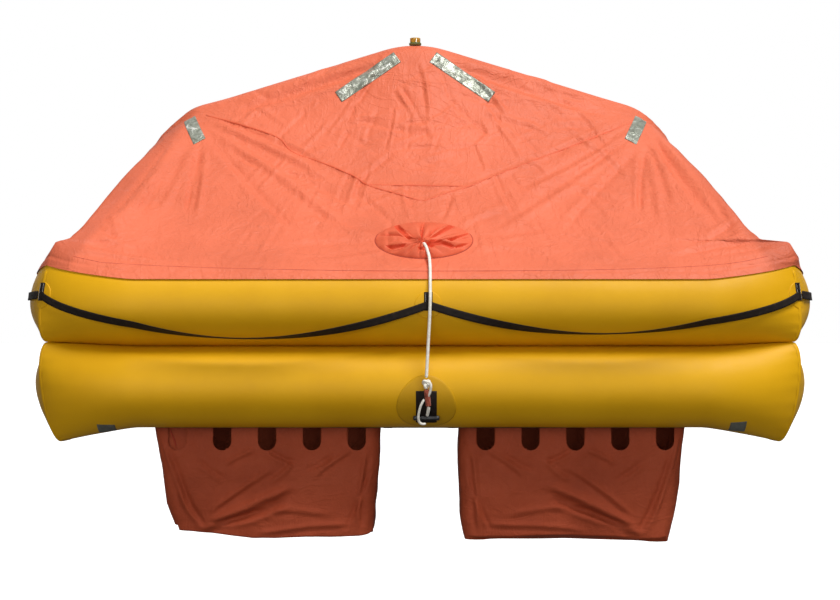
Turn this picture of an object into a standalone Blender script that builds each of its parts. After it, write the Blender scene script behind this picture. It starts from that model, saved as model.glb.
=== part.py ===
"""Inflatable life raft: two stacked tubes with puffed mitred corners, a canopy over one cross arch,
water pockets under the floor, a lifeline of webbing and a rope from the lookout port to the tow patch.

Metres, +Z up. X runs along the closed long side, +Y points from that side to the entrance,
and the origin is on the unladen waterline below the middle of the raft.
"""

import bmesh
import bpy
from collections import namedtuple
from math import acos, asin, cos, pi, radians, sin, sqrt
from mathutils import Vector
from mathutils.bvhtree import BVHTree

# Clearances between pieces that touch, and under cloth that is glued to a tube
GAP = 0.0003
LAID_GAP = 0.0008

# Tubes
TUBE_SIDES = 20
TUBE_R = 0.1535
FLAT = TUBE_R * cos(pi / TUBE_SIDES)
WATERLINE_DEPTH = 0.029
LOWER_Z = FLAT - WATERLINE_DEPTH
UPPER_Z = LOWER_Z + 2 * FLAT + GAP
HALF_LENGTH = 1.33
UPPER_SPREAD = 0.02
HALF_WIDTH = 0.8475
MITRE_X = 1.356
MITRE_REACH = 0.32
MITRE_OUT = 0.042
MITRE_IN = 0.134
MITRE_LEAN = 0.02
CORNER_STEPS = (0.0, 0.035, 0.09, 0.16, 0.24, MITRE_REACH)

# Cross arch, given by the middle of its tube
ARCH_R = 0.072
ARCH_SIDES = 14
ARCH_FOOT_X = 1.29
ARCH_BEND = (0.892, 1.137)
ARCH_PEAK_Z = 1.409
ARCH_SHIFT = -0.02
BEND_RADIUS = 0.16
PEAK_RADIUS = 0.36

# Canopy
CLOTH = 0.005
HEM_ANGLE = radians(38)
LEAVE_ANGLE = radians(68)
LEAVE_ANGLE_MITRE = radians(86)
RIDGE_R = 0.083
RIDGE_WRAP = radians(63)
HIP_WRAP = radians(48)
CANOPY_ROWS = 12
EDGE_ROWS = 4
WRAP_STEPS = 5
FREE_STEPS = 16
LEAST_ROW = 0.012
HEM_CLEAR = 0.0006
HEM_CLEAR_MITRE = 0.0026
TUBE_CLEAR = 0.004
TUBE_CLEAR_MITRE = 0.011
SLACK = 0.36
PULLED_FLAT = 0.1
DOOR_HALF = 0.44
DOOR_TOP_HALF = 0.27
DOOR_SILL_Z = 0.612
DOOR_TOP_Z = 1.15
DOOR_ROUND = 0.15
DOOR_CUT_Y = (0.12, 1.2)

# Reflective tape: the lower and upper end of each strip, as (x, z) seen from the front, and its lift
TAPE_WIDTH = 0.05
TAPE_THICK = 0.0012
TAPE_STEPS = (11, 3)
TAPE_RUNS = (
    ((-0.311, 1.252), (-0.078, 1.418), 0.8, 0.0016),
    ((-0.872, 1.068), (-0.924, 1.156), 1.0, 0.0018),
)
TAPES_OVER_FOLDS = {"rear_tape_4": 0.0007}

# Rolled entrance flap
ROLL_R = 0.04
ROLL_HALF = 0.36
ROLL_Z = 1.238
ROLL_FALL = 0.30
ROLL_CLEAR = 0.002
ROLL_STEPS = 12
ROLL_SIDES = 10

# Lookout port, given in plan
PORT_CENTRE = Vector((0.0155, -0.757))
PORT_HALF = Vector((0.180, 0.104))
PORT_TIE = Vector((0.011, -0.803))
PORT_SIDES = 24
PORT_RINGS = 5
PORT_CLEAR = 0.001
PORT_RIM = 0.004
PORT_RISE = 0.024
PORT_EDGE = 0.006
PORT_VALLEY = 0.55

# Water pockets
POCKET_SIZE = (0.845, 0.27, 0.423)
FRONT_POCKET_X = 0.577
REAR_POCKET_X = 0.66
POCKET_Y = 0.655
POCKET_WALL = 0.006
SLOT_WIDTH = 0.068
SLOT_PITCH = 0.168
SLOT_DEPTH = 0.092
SLOTS = 5
SLOT_OVER = 0.03
SLOT_REACH = 0.05
PocketLevel = namedtuple("PocketLevel", "drop share corner")
POCKET_LEVELS = (
    PocketLevel(0.0, 1.0, 0.05),
    PocketLevel(0.12, 0.985, 0.05),
    PocketLevel(0.28, 0.955, 0.055),
    PocketLevel(0.39, 0.92, 0.06),
    PocketLevel(POCKET_SIZE[2], 0.86, 0.07),
)

# Floor
FLOOR_CLOTH = 0.006
FLOOR_CORNER = (0.95, 0.44)
FLOOR_REACH = (0.006, -0.008)
MATTRESS = 0.055
MATTRESS_INSET = 0.143
MATTRESS_CORNER = 0.06
MATTRESS_LEVELS = ((0.0, 0.0), (0.018, 0.002), (0.040, 0.012), (MATTRESS, 0.045))

# Gas bottle and straps under the floor; profiles hold (distance along the axis, radius)
BOTTLE_R = 0.06
BOTTLE_HALF = 0.25
BOTTLE_Y = 0.30
BOTTLE_PROFILE = (
    (-BOTTLE_HALF - 0.03, 0.02),
    (-BOTTLE_HALF - 0.015, 0.045),
    (-BOTTLE_HALF, BOTTLE_R),
    (BOTTLE_HALF, BOTTLE_R),
    (BOTTLE_HALF + 0.02, 0.055),
    (BOTTLE_HALF + 0.035, 0.025),
    (BOTTLE_HALF + 0.10, 0.025),
)
BOTTLE_STRAP_X = 0.14
BOTTLE_STRAP_HALF = 0.02
BOTTLE_STRAP_FLARE = 0.035
STRAP_THICK = 0.003
RIGHTING_STRAP_X = 0.42
RIGHTING_STRAP_HALF = (0.025, 0.47)

# Equipment bag on the mattress
BAG_X = (-1.13, -0.88)
BAG_HALF_Y = 0.28
BAG_HEIGHT = 0.22
BAG_ROUND = 0.04

# Boarding ladder of webbing, with the height of each rung's lower edge
LADDER_HALF = 0.15
LADDER_WEB = 0.030
LADDER_THICK = 0.004
LADDER_TOP = UPPER_Z + 0.012
LADDER_RUNGS = (-0.165, -0.005, 0.150, 0.300, LADDER_TOP - LADDER_WEB)

# Relief valves and light
VALVE_Y = 0.34
VALVE_PROFILE = ((0.0, 0.030), (0.006, 0.030), (0.010, 0.024), (0.016, 0.022), (0.018, 0.012))
LIGHT_CLEAR = 0.0004
LIGHT_BASE = ((0.0, 0.024), (0.006, 0.026), (0.012, 0.022))
LIGHT_LENS = ((0.0, 0.019), (0.006, 0.021), (0.018, 0.020), (0.026, 0.014), (0.030, 0.005))

# Lifeline
WEB_WIDTH = 0.030
WEB_THICK = 0.0025
WEB_STAND = 0.0078
WEB_STAND_MITRE = 0.0118
WEB_LOOK = 0.02
DISC_THICK = 0.003
TAB_THICK = 0.006
PRISM_REACH = (-0.07, 0.08)
PATCH_DISC = 0.05
TAB_SIZE = (0.031, 0.066)
TAB_DROP = 0.020
LIFELINE_Z = 0.462
CENTRE_PATCH_Z = 0.43
FRONT_PATCH_X = 0.03
REAR_PATCH_X = 0.56
SPAN_CLEAR = 0.012
MIDDLE_CLEAR = 0.004
TWIST = radians(80)

# Tow patch on the lower tube; angles are below the horizontal
TOW_X = 0.023
TOW_ANGLE = radians(24.6)
TOW_DISC = 0.109
TOW_PAD = (0.076, 0.132)
TOW_PAD_DROP = 0.072
TOW_BAR_ANGLE = radians(38)
TOW_BAR_R = 0.009
TOW_BAR_CLEAR = 0.0005
TOW_BAR_PROFILE = ((-0.048, 0.006), (-0.040, TOW_BAR_R), (0.040, TOW_BAR_R), (0.048, 0.006))

# Rope, its knot and sleeve, and its two ends below them
ROPE_R = 0.006
KNOT = (0.023, -1.023, 0.147)
SLEEVE_END = (0.031, -1.010, 0.066)
ROPE_ROUTE = (
    (0.0120, -0.8285, 0.6515),
    (0.0170, -0.8450, 0.6500),
    (0.0240, -0.8560, 0.6370),
    (0.0295, -0.8730, 0.6195),
    (0.0340, -0.8930, 0.6020),
    (0.0360, -0.9270, 0.5800),
    (0.037, -0.9600, 0.5560),
    (0.037, -0.9860, 0.5240),
    (0.037, -1.0030, 0.4920),
    (0.037, -1.0150, 0.4600),
    (0.036, -1.0190, 0.4250),
    (0.034, -1.0200, 0.3700),
    (0.030, -1.0200, 0.3000),
    (0.026, -1.0210, 0.2200),
    (0.023, -1.0230, 0.1680),
)
END_ROUTE = (
    (0.0312, -1.0097, 0.0650),
    (0.0308, -1.0075, 0.0550),
    (0.0290, -1.0010, 0.0420),
    (0.0272, -0.9938, 0.0325),
    (0.0262, -0.9876, 0.0261),
)
TAIL_ROUTE = (
    (0.0140, -1.0205, 0.0910),
    (0.0108, -1.0200, 0.0827),
    (0.0025, -1.0180, 0.0662),
    (-0.0036, -1.0130, 0.0440),
    (-0.0061, -1.0070, 0.0216),
    (-0.0022, -1.0010, 0.0057),
    (0.0083, -0.9980, -0.0012),
    (0.0217, -0.9960, -0.0006),
)
ROPE_TAIL_SHARE = 0.8
KNOT_PROFILE = ((-0.020, 0.007), (-0.012, 0.015), (0.0, 0.0175), (0.012, 0.015), (0.020, 0.007))
SLEEVE_DROP = 0.0226
SLEEVE_R = (0.0085, 0.0095)

Station = namedtuple("Station", "base out along mitre")
Tube = namedtuple("Tube", "z spread up_rise down_rise lean")
LOWER = Tube(LOWER_Z, 0.0, 0.0138, 0.055, 1)
UPPER = Tube(UPPER_Z, UPPER_SPREAD, 0.080, -0.0153, -1)

PALETTE = {
    "tube_fabric": ((0.80, 0.47, 0.03), 0.45),
    "canopy_fabric": ((0.90, 0.20, 0.10), 0.6),
    "pocket_fabric": ((0.28, 0.035, 0.012), 0.7),
    "webbing": ((0.012, 0.011, 0.011), 0.75),
    "floor_fabric": ((0.03, 0.03, 0.035), 0.6),
    "reflective_tape": ((0.42, 0.44, 0.38), 0.3),
    "rope": ((0.80, 0.77, 0.68), 0.85),
    "rope_sleeve": ((0.45, 0.09, 0.04), 0.7),
    "lamp_lens": ((0.75, 0.45, 0.05), 0.2),
    "black_plastic": ((0.02, 0.02, 0.02), 0.4),
    "gas_bottle": ((0.10, 0.12, 0.14), 0.4),
    "bag_fabric": ((0.75, 0.17, 0.05), 0.7),
}


def material(slot):
    found = bpy.data.materials.get(slot)
    if found:
        return found
    colour, roughness = PALETTE[slot]
    made = bpy.data.materials.new(slot)
    made.use_nodes = True
    shader = made.node_tree.nodes["Principled BSDF"]
    shader.inputs["Base Color"].default_value = (*colour, 1.0)
    shader.inputs["Roughness"].default_value = roughness
    return made


def add_object(name, mesh, slot):
    mesh.materials.append(material(slot))
    mesh.shade_smooth()
    mesh.set_sharp_from_angle(angle=radians(40))
    obj = bpy.data.objects.new(name, mesh)
    bpy.context.scene.collection.objects.link(obj)
    return obj


def from_faces(name, points, faces, slot, closed=True):
    """An object from points and faces, with its faces turned outwards when it is closed."""
    mesh = bpy.data.meshes.new(name)
    mesh.from_pydata([tuple(p) for p in points], [], faces)
    if closed:
        work = bmesh.new()
        work.from_mesh(mesh)
        bmesh.ops.recalc_face_normals(work, faces=work.faces)
        work.to_mesh(mesh)
        work.free()
    return add_object(name, mesh, slot)


def loft(name, rings, slot, ring_closed=False):
    """A solid through rings of equal length. An open run of rings is capped at both ends."""
    count = len(rings[0])
    points = [p for ring in rings for p in ring]
    faces = []
    runs = len(rings) if ring_closed else len(rings) - 1
    for i in range(runs):
        a, b = i * count, (i + 1) % len(rings) * count
        for j in range(count):
            k = (j + 1) % count
            faces.append((a + j, a + k, b + k, b + j))
    if not ring_closed:
        faces.append(tuple(range(count)))
        faces.append(tuple(range(len(points) - count, len(points))))
    return from_faces(name, points, faces, slot)


def box(name, low, high, slot, bevel=0.0):
    """A block between two corners, with its edges rounded when bevel is given."""
    points = [(x, y, z) for z in (low[2], high[2]) for y in (low[1], high[1]) for x in (low[0], high[0])]
    faces = [(0, 1, 3, 2), (4, 5, 7, 6), (0, 1, 5, 4), (2, 3, 7, 6), (0, 2, 6, 4), (1, 3, 7, 5)]
    obj = from_faces(name, points, faces, slot)
    if bevel:
        rounding = obj.modifiers.new("edges", "BEVEL")
        rounding.width = bevel
        rounding.segments = 2
    return obj


def as_cutter(obj):
    obj.hide_render = True
    obj.display_type = "WIRE"
    return obj


def boolean(obj, cutter, operation):
    step = obj.modifiers.new(cutter.name, "BOOLEAN")
    step.object = cutter
    step.operation = operation
    step.solver = "EXACT"


def lerp(a, b, t):
    return a + (b - a) * t


# Tubes

def side_positions(half, middle_steps):
    """Distances along a side from its middle, closer together towards the mitres."""
    inner = half - MITRE_REACH
    right = [inner * i / middle_steps for i in range(1, middle_steps)]
    right += [half - d for d in reversed(CORNER_STEPS)]
    return [-d for d in reversed(right)] + [0.0] + right


def stations(tube, finer=1):
    """Stations round a tube from the middle of the left side, by the front, right and rear sides."""
    x, y = HALF_LENGTH + tube.spread, HALF_WIDTH
    sides = (
        (Vector((-x, 0, 0)), Vector((-1, 0, 0)), Vector((0, -1, 0)), y, 2),
        (Vector((0, -y, 0)), Vector((0, -1, 0)), Vector((1, 0, 0)), MITRE_X, 3),
        (Vector((x, 0, 0)), Vector((1, 0, 0)), Vector((0, 1, 0)), y, 2),
        (Vector((0, y, 0)), Vector((0, 1, 0)), Vector((-1, 0, 0)), MITRE_X, 3),
    )
    found = []
    for middle, out, along, half, steps in sides:
        for a in side_positions(half, steps * finer):
            if a == -half:
                continue
            near = max(0.0, 1 - (half - abs(a)) / MITRE_REACH)
            shift = (MITRE_X - abs(middle.x)) * near**2 if out.x else 0.0
            mitre = near if a > 0 else -near
            found.append(Station(middle + along * a + out * shift, out, along, mitre))
    start = len(side_positions(sides[0][3], sides[0][4] * finer)) // 2 - 1
    return found[start:] + found[:start]


def section(tube, near, angle, proud):
    """Outward and upward distance of a tube's skin from its middle, at a nearness to the mitre."""
    c, s = cos(angle), sin(angle)
    reach = lerp(TUBE_R, MITRE_OUT if c > 0 else MITRE_IN, near**2) + proud
    rise = TUBE_R + (tube.up_rise if s > 0 else tube.down_rise) * near + proud
    return reach * c + tube.lean * MITRE_LEAN * near**2 * s, rise * s


def place(tube, station, v, h):
    near = abs(station.mitre)
    lean = v * near if station.mitre > 0 else -v * near
    return station.base + station.out * v + station.along * lean + Vector((0, 0, tube.z + h))


def corner_angles():
    return [2 * pi * (i + 0.5) / TUBE_SIDES for i in range(TUBE_SIDES)]


def skin(tube, station, angle, proud=0.0):
    """A point on the tube's flats, so that what lies on it follows them."""
    step = 2 * pi / TUBE_SIDES
    before = int(angle / step - 0.5)
    a, b = ((before + n + 0.5) * step for n in (0, 1))
    near = abs(station.mitre)
    low, high = section(tube, near, a, proud), section(tube, near, b, proud)
    t = (angle - a) / step
    return place(tube, station, lerp(low[0], high[0], t), lerp(low[1], high[1], t))


def tube_rings(tube, proud=0.0):
    return [
        [place(tube, st, *section(tube, abs(st.mitre), a, proud)) for a in corner_angles()]
        for st in stations(tube)
    ]


def make_tubes():
    loft("lower_tube", tube_rings(LOWER), "tube_fabric", ring_closed=True)
    loft("upper_tube", tube_rings(UPPER), "tube_fabric", ring_closed=True)


# Cross arch

def rounded(points, radii, step=radians(9)):
    """Points of a run in the XZ plane, with each inner corner turned into an arc."""
    out = [Vector(points[0])]
    for i in range(1, len(points) - 1):
        corner = Vector(points[i])
        back = (Vector(points[i - 1]) - corner).normalized()
        on = (Vector(points[i + 1]) - corner).normalized()
        half = acos(back.dot(on)) / 2
        centre = corner + (back + on).normalized() * radii[i - 1] / sin(half)
        start = corner + back * radii[i - 1] * cos(half) / sin(half)
        turn = pi - 2 * half
        spin = 1 if back.cross(on) > 0 else -1
        count = max(2, round(turn / step))
        arm = start - centre
        for n in range(count + 1):
            a = -spin * turn * n / count
            out.append(centre + Vector((arm.x * cos(a) - arm.y * sin(a), arm.x * sin(a) + arm.y * cos(a))))
    out.append(Vector(points[-1]))
    return out


def arch_line():
    foot = (ARCH_FOOT_X, UPPER_Z + FLAT)
    left_bend = (-ARCH_BEND[0] + ARCH_SHIFT, ARCH_BEND[1])
    right_bend = (ARCH_BEND[0] + ARCH_SHIFT, ARCH_BEND[1])
    peak = (ARCH_SHIFT, ARCH_PEAK_Z)
    points = [(-foot[0], foot[1]), left_bend, peak, right_bend, foot]
    return rounded(points, (BEND_RADIUS, PEAK_RADIUS, BEND_RADIUS))


def arch_frame(line, i):
    """The outward normal of the arch line at one of its points, in the XZ plane."""
    before = line[max(i - 1, 0)]
    after = line[min(i + 1, len(line) - 1)]
    along = (after - before).normalized()
    return Vector((-along.y, along.x))


def make_arch():
    line = arch_line()
    rings = []
    for i, point in enumerate(line):
        normal = arch_frame(line, i)
        ring = []
        for n in range(ARCH_SIDES):
            a = 2 * pi * n / ARCH_SIDES
            up = ARCH_R * cos(a)
            ring.append(Vector((point.x + normal.x * up, ARCH_R * sin(a), point.y + normal.y * up)))
        rings.append(ring)
    for ring, inner in ((rings[0], 1), (rings[-1], -2)):
        direction = line[inner] - line[0 if inner == 1 else -1]
        slope = direction.x / direction.y
        seat = UPPER_Z + FLAT + GAP
        for p in ring:
            p.x += (seat - p.z) * slope
            p.z = seat
    loft("arch_tube", rings, "tube_fabric")


def arch_at(x, line):
    """Middle and outward normal of the arch tube where it passes over x."""
    for i in range(len(line) - 1):
        if line[i].x <= x <= line[i + 1].x:
            t = (x - line[i].x) / (line[i + 1].x - line[i].x)
            normal = arch_frame(line, i).lerp(arch_frame(line, i + 1), t).normalized()
            return line[i].lerp(line[i + 1], t), normal
    end = 0 if x < 0 else len(line) - 1
    return line[end], arch_frame(line, end)


# Canopy

def bezier(a, b, c, d, t):
    s = 1 - t
    return a * s**3 + b * 3 * s * s * t + c * 3 * s * t * t + d * t**3


def ruling(station, line):
    """The canopy's rows from its hem on the upper tube to the ridge over the arch, at a tube station."""
    near = abs(station.mitre)
    hem_clear = lerp(HEM_CLEAR, HEM_CLEAR_MITRE, min(1.0, 4 * near))
    run = [skin(UPPER, station, HEM_ANGLE, CLOTH + hem_clear)]
    leave = lerp(LEAVE_ANGLE, LEAVE_ANGLE_MITRE, near)
    lift = CLOTH + lerp(TUBE_CLEAR, TUBE_CLEAR_MITRE, near)
    for n in range(1, WRAP_STEPS + 1):
        run.append(skin(UPPER, station, lerp(HEM_ANGLE, leave, n / WRAP_STEPS), lift))
    front = station.out.y < 0 or near == 1
    bend_x = ARCH_BEND[0]
    if front:
        share = abs(station.base.x) / MITRE_X
        x = station.base.x / MITRE_X * bend_x + ARCH_SHIFT
        wrap = lerp(RIDGE_WRAP, HIP_WRAP, share**2)
        hang = lerp(1.0, PULLED_FLAT, share**2)
    else:
        share = abs(station.base.y) / HALF_WIDTH
        side = 1 if station.base.x > 0 else -1
        x = lerp(side * ARCH_FOOT_X, side * bend_x + ARCH_SHIFT, share)
        wrap = HIP_WRAP * share**0.6
        hang = PULLED_FLAT
    middle, normal = arch_at(x, line)
    up = Vector((normal.x, 0, normal.y))
    centre = Vector((middle.x, 0, middle.y))
    back = Vector((0, -1, 0))
    hem_points = len(run)
    start = run[-1]
    end = centre + (up * cos(wrap) + back * sin(wrap)) * RIDGE_R
    chord = (end - start).normalized()
    handle = (end - start).length * SLACK
    leaving = chord.lerp((run[-1] - run[-2]).normalized(), hang).normalized()
    arriving = chord.lerp(up * sin(wrap) - back * cos(wrap), hang).normalized()
    for n in range(1, FREE_STEPS + 1):
        run.append(bezier(start, start + leaving * handle, end - arriving * handle, end, n / FREE_STEPS))
    for n in range(1, WRAP_STEPS + 1):
        a = wrap * (1 - n / WRAP_STEPS)
        run.append(centre + (up * cos(a) + back * sin(a)) * RIDGE_R)
    return resample(run, hem_points, wrap * RIDGE_R)


def resample(run, hem_points, wrap_length):
    """Rows along a ruling: close together over the tube and over the arch, even between them."""
    lengths = [0.0]
    for a, b in zip(run, run[1:]):
        lengths.append(lengths[-1] + (b - a).length)
    top = max(wrap_length / (EDGE_ROWS - 1), LEAST_ROW)
    hem = lengths[hem_points - 1]
    wanted = [hem * n / (EDGE_ROWS - 1) for n in range(EDGE_ROWS)]
    upper = [lengths[-1] - top * n for n in reversed(range(EDGE_ROWS))]
    between = CANOPY_ROWS - 2 * EDGE_ROWS
    wanted += [lerp(hem, upper[0], (n + 1) / (between + 1)) for n in range(between)] + upper
    out = []
    for want in wanted:
        i = min(max(j for j in range(len(lengths)) if lengths[j] <= want + 1e-12), len(run) - 2)
        span = lengths[i + 1] - lengths[i]
        out.append(run[i].lerp(run[i + 1], (want - lengths[i]) / span if span else 0.0))
    return out


def door_cutter():
    """A prism with the outline of the entrance, which cuts the rear slope of the canopy."""
    outline = [(-DOOR_HALF, DOOR_SILL_Z), (DOOR_HALF, DOOR_SILL_Z)]
    for n in range(13):
        a = pi * n / 12
        outline.append((DOOR_TOP_HALF * cos(a), DOOR_TOP_Z - DOOR_ROUND * (1 - sin(a))))
    rings = [[Vector((x, y, z)) for x, z in outline] for y in DOOR_CUT_Y]
    return as_cutter(loft("door_cutter", rings, "canopy_fabric"))


def make_canopy():
    line = arch_line()
    ring = stations(UPPER, finer=2)
    half = ring[: len(ring) // 2 + 1]
    rows = [ruling(st, line) for st in half]
    for row in rows:
        row[-1].y = 0.0
    for p in rows[0] + rows[-1]:
        p.y = 0.0
    points = [p for row in rows for p in row]
    faces = []
    for i in range(len(rows) - 1):
        for j in range(CANOPY_ROWS - 1):
            a, b = i * CANOPY_ROWS + j, (i + 1) * CANOPY_ROWS + j
            faces.append((a, b, b + 1, a + 1))
    obj = from_faces("canopy", points, faces, "canopy_fabric", closed=False)
    mirror = obj.modifiers.new("rear_half", "MIRROR")
    mirror.use_axis = (False, True, False)
    mirror.merge_threshold = 0.0001
    thick = obj.modifiers.new("cloth", "SOLIDIFY")
    thick.thickness = CLOTH
    thick.offset = -1.0
    boolean(obj, door_cutter(), "DIFFERENCE")
    return obj


def surface_of(obj):
    """A tree of an object's evaluated mesh, to lay other pieces on it."""
    bpy.context.view_layer.update()
    return BVHTree.FromObject(obj, bpy.context.evaluated_depsgraph_get())


def first_hit(tree, x, z, side):
    """Where a line along Y first meets a surface, moved inwards where it passes outside the outline."""
    while True:
        hit, normal, _, _ = tree.ray_cast(Vector((x, side * 3, z)), Vector((0, -side, 0)))
        if hit:
            return hit, normal
        x *= 0.995
        z -= 0.001


def laid(name, tree, corners, side, lift):
    """A strip of tape laid on the slope at one side: its four corners are (x, z) as seen from there."""
    (ax, az), (bx, bz), (cx, cz), (dx, dz) = corners
    across, down = TAPE_STEPS
    points, faces = [], []
    for j in range(down + 1):
        for i in range(across + 1):
            s, t = i / across, j / down
            x = lerp(lerp(ax, bx, s), lerp(dx, cx, s), t)
            z = lerp(lerp(az, bz, s), lerp(dz, cz, s), t)
            hit, normal = first_hit(tree, x, z, side)
            points.append(hit + normal * lift)
    for j in range(down):
        for i in range(across):
            a = j * (across + 1) + i
            faces.append((a, a + 1, a + across + 2, a + across + 1))
    a, b, c = (points[k] for k in faces[0][:3])
    if (b - a).cross(c - b).y * side < 0:
        faces = [tuple(reversed(f)) for f in faces]
    obj = from_faces(name, points, faces, "reflective_tape", closed=False)
    step = obj.modifiers.new("thick", "SOLIDIFY")
    step.thickness = TAPE_THICK
    step.offset = 1.0


def make_reflective_tapes(canopy):
    """Four tapes on each slope: two up to the ridge and two at the bends of the arch."""
    tree = surface_of(canopy)
    for side, word in ((-1, "front"), (1, "rear")):
        number = 0
        for mirror in (1, -1):
            for low, high, share, lift in TAPE_RUNS:
                number += 1
                low, high = Vector(low), Vector(high)
                run = (high - low).normalized()
                wide = Vector((-run.y, run.x)) * TAPE_WIDTH / 2 * share
                corners = [low + wide, high + wide, high - wide, low - wide]
                flat = [(p.x * mirror + ARCH_SHIFT, p.y) for p in corners]
                if (mirror > 0) == (side < 0):
                    flat = [flat[1], flat[0], flat[3], flat[2]]
                name = f"{word}_tape_{number}"
                laid(name, tree, flat, side, lift + TAPES_OVER_FOLDS.get(name, 0.0))


def make_door_roll(canopy):
    """The entrance flap, rolled up and tied over the top of the opening."""
    tree = surface_of(canopy)
    turns = [2 * pi * n / ROLL_SIDES for n in range(ROLL_SIDES)]
    rings = []
    for i in range(ROLL_STEPS + 1):
        x = lerp(-ROLL_HALF, ROLL_HALF, i / ROLL_STEPS)
        z = ROLL_Z - ROLL_FALL * (sqrt(x * x + 0.02) - sqrt(0.02))
        hit, normal = first_hit(tree, x + ARCH_SHIFT, z, 1)
        radius = ROLL_R * (1 - 0.25 * abs(2 * i / ROLL_STEPS - 1) ** 4)
        centre = hit + normal * (radius + ROLL_CLEAR)
        across = Vector((1, 0, -0.27 if x > 0 else 0.27)).normalized()
        up = normal.cross(across).normalized()
        rings.append([centre + (normal * cos(a) + up * sin(a)) * radius for a in turns])
    loft("door_flap_roll", rings, "canopy_fabric")


def make_lookout_port(canopy):
    """The gathered sleeve of the lookout port on the front slope: pleats that rise to its tied middle."""
    tree = surface_of(canopy)
    low, top = [], []
    for n in range(PORT_RINGS):
        share = (PORT_RINGS - n) / PORT_RINGS
        for k in range(PORT_SIDES):
            a = 2 * pi * k / PORT_SIDES
            x = lerp(PORT_TIE.x, PORT_CENTRE.x + PORT_HALF.x * cos(a), share)
            y = lerp(PORT_TIE.y, PORT_CENTRE.y + PORT_HALF.y * sin(a), share)
            hit, normal, _, _ = tree.ray_cast(Vector((x, y, 3)), Vector((0, 0, -1)))
            pleat = 1 if k % 2 else PORT_VALLEY
            rise = PORT_RISE * (1 - share) ** 0.8 + (PORT_EDGE if n else 0.0)
            low.append(hit + normal * PORT_CLEAR)
            top.append(hit + normal * (PORT_RIM + rise * pleat))
    hit, normal, _, _ = tree.ray_cast(Vector((*PORT_TIE, 3)), Vector((0, 0, -1)))
    points = low + [hit + normal * PORT_CLEAR] + top + [hit + normal * (PORT_RIM + PORT_RISE)]
    middle = len(low)
    faces = []
    for base in (0, middle + 1):
        for n in range(PORT_RINGS - 1):
            for k in range(PORT_SIDES):
                a = base + n * PORT_SIDES + k
                b = base + n * PORT_SIDES + (k + 1) % PORT_SIDES
                faces.append((a, b, b + PORT_SIDES, a + PORT_SIDES))
        last = base + (PORT_RINGS - 1) * PORT_SIDES
        hub = base + PORT_RINGS * PORT_SIDES
        faces += [(last + k, last + (k + 1) % PORT_SIDES, hub) for k in range(PORT_SIDES)]
    for k in range(PORT_SIDES):
        a, b = k, (k + 1) % PORT_SIDES
        faces.append((a, b, middle + 1 + b, middle + 1 + a))
    from_faces("port_sleeve", points, faces, "canopy_fabric")


# Pieces that lie on a tube

def shells():
    """Hidden copies of both tubes, grown by the thickness of what lies on them."""
    found = {}
    for word, tube in (("lower", LOWER), ("upper", UPPER)):
        for proud in (LAID_GAP, DISC_THICK, DISC_THICK + LAID_GAP, TAB_THICK):
            name = f"{word}_shell_{proud * 1e4:.0f}"
            grown = loft(name, tube_rings(tube, proud), "tube_fabric", ring_closed=True)
            found[word, proud] = as_cutter(grown)
    return found


def on_tube(name, shell, word, inner, outer, outline, centre, out, slot):
    """A piece cut from a tube's grown skin by a prism: outline holds (sideways, up) points."""
    up = Vector((0, 0, 1))
    up = (up - out * up.dot(out)).normalized()
    side = up.cross(out)
    rings = [[centre + out * d + side * a + up * b for a, b in outline] for d in PRISM_REACH]
    obj = loft(name, rings, slot)
    boolean(obj, shell[word, outer], "INTERSECT")
    boolean(obj, shell[word, inner], "DIFFERENCE")
    return obj


def disc_outline(radius, sides=20):
    """A round outline, turned a little so that none of its corners meets an edge of the tube's flats."""
    turns = [2 * pi * (n + 0.37) / sides for n in range(sides)]
    return [(radius * cos(a), radius * sin(a)) for a in turns]


def plate_outline(width, height, low=0.0):
    return [(-width / 2, low), (width / 2, low), (width / 2, low + height), (-width / 2, low + height)]


def make_lifeline_patches(shell):
    """A round patch with a sewn tab at each corner, at the middle of the front and by the entrance."""
    diagonal = sqrt(0.5)
    spots = []
    for sx, side in ((-1, "left"), (1, "right")):
        for sy, end in ((-1, "front"), (1, "rear")):
            out = Vector((sx * diagonal, sy * diagonal, 0))
            base = Vector((sx * MITRE_X, sy * HALF_WIDTH, LIFELINE_Z)) + out * MITRE_OUT / diagonal
            spots.append((f"{end}_{side}", base, out))
        base = Vector((sx * REAR_PATCH_X, HALF_WIDTH + FLAT, LIFELINE_Z))
        spots.append((f"entrance_{side}", base, Vector((0, 1, 0))))
    base = Vector((FRONT_PATCH_X, -HALF_WIDTH - FLAT, CENTRE_PATCH_Z))
    spots.append(("front_middle", base, Vector((0, -1, 0))))
    disc = disc_outline(PATCH_DISC)
    tab = plate_outline(*TAB_SIZE, -TAB_DROP)
    for word, base, out in spots:
        on_tube(f"patch_{word}", shell, "upper", LAID_GAP, DISC_THICK, disc, base, out, "tube_fabric")
        on_tube(f"tab_{word}", shell, "upper", DISC_THICK + LAID_GAP, TAB_THICK, tab, base, out, "webbing")


def swag(t, z0, z1, drop):
    return lerp(z0, z1, t) - drop * 4 * t * (1 - t)


def skin_at(tube, side, a, z):
    """A side's skin at a distance from its middle and a height, and how far it leans back there."""
    base, out, along, half = side
    near = max(0.0, 1 - (half - abs(a)) / MITRE_REACH)
    shift = (MITRE_X - abs(base.x)) * near**2 if out.x else 0.0
    rise = TUBE_R + tube.up_rise * near
    s = min(max((z - tube.z) / rise, 0.0), 0.9)
    v, _ = section(tube, near, asin(s), 0.0)
    sign = 1 if a > 0 else -1
    return base + along * (a + sign * near * v) + out * (v + shift) + Vector((0, 0, z)), asin(s)


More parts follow.
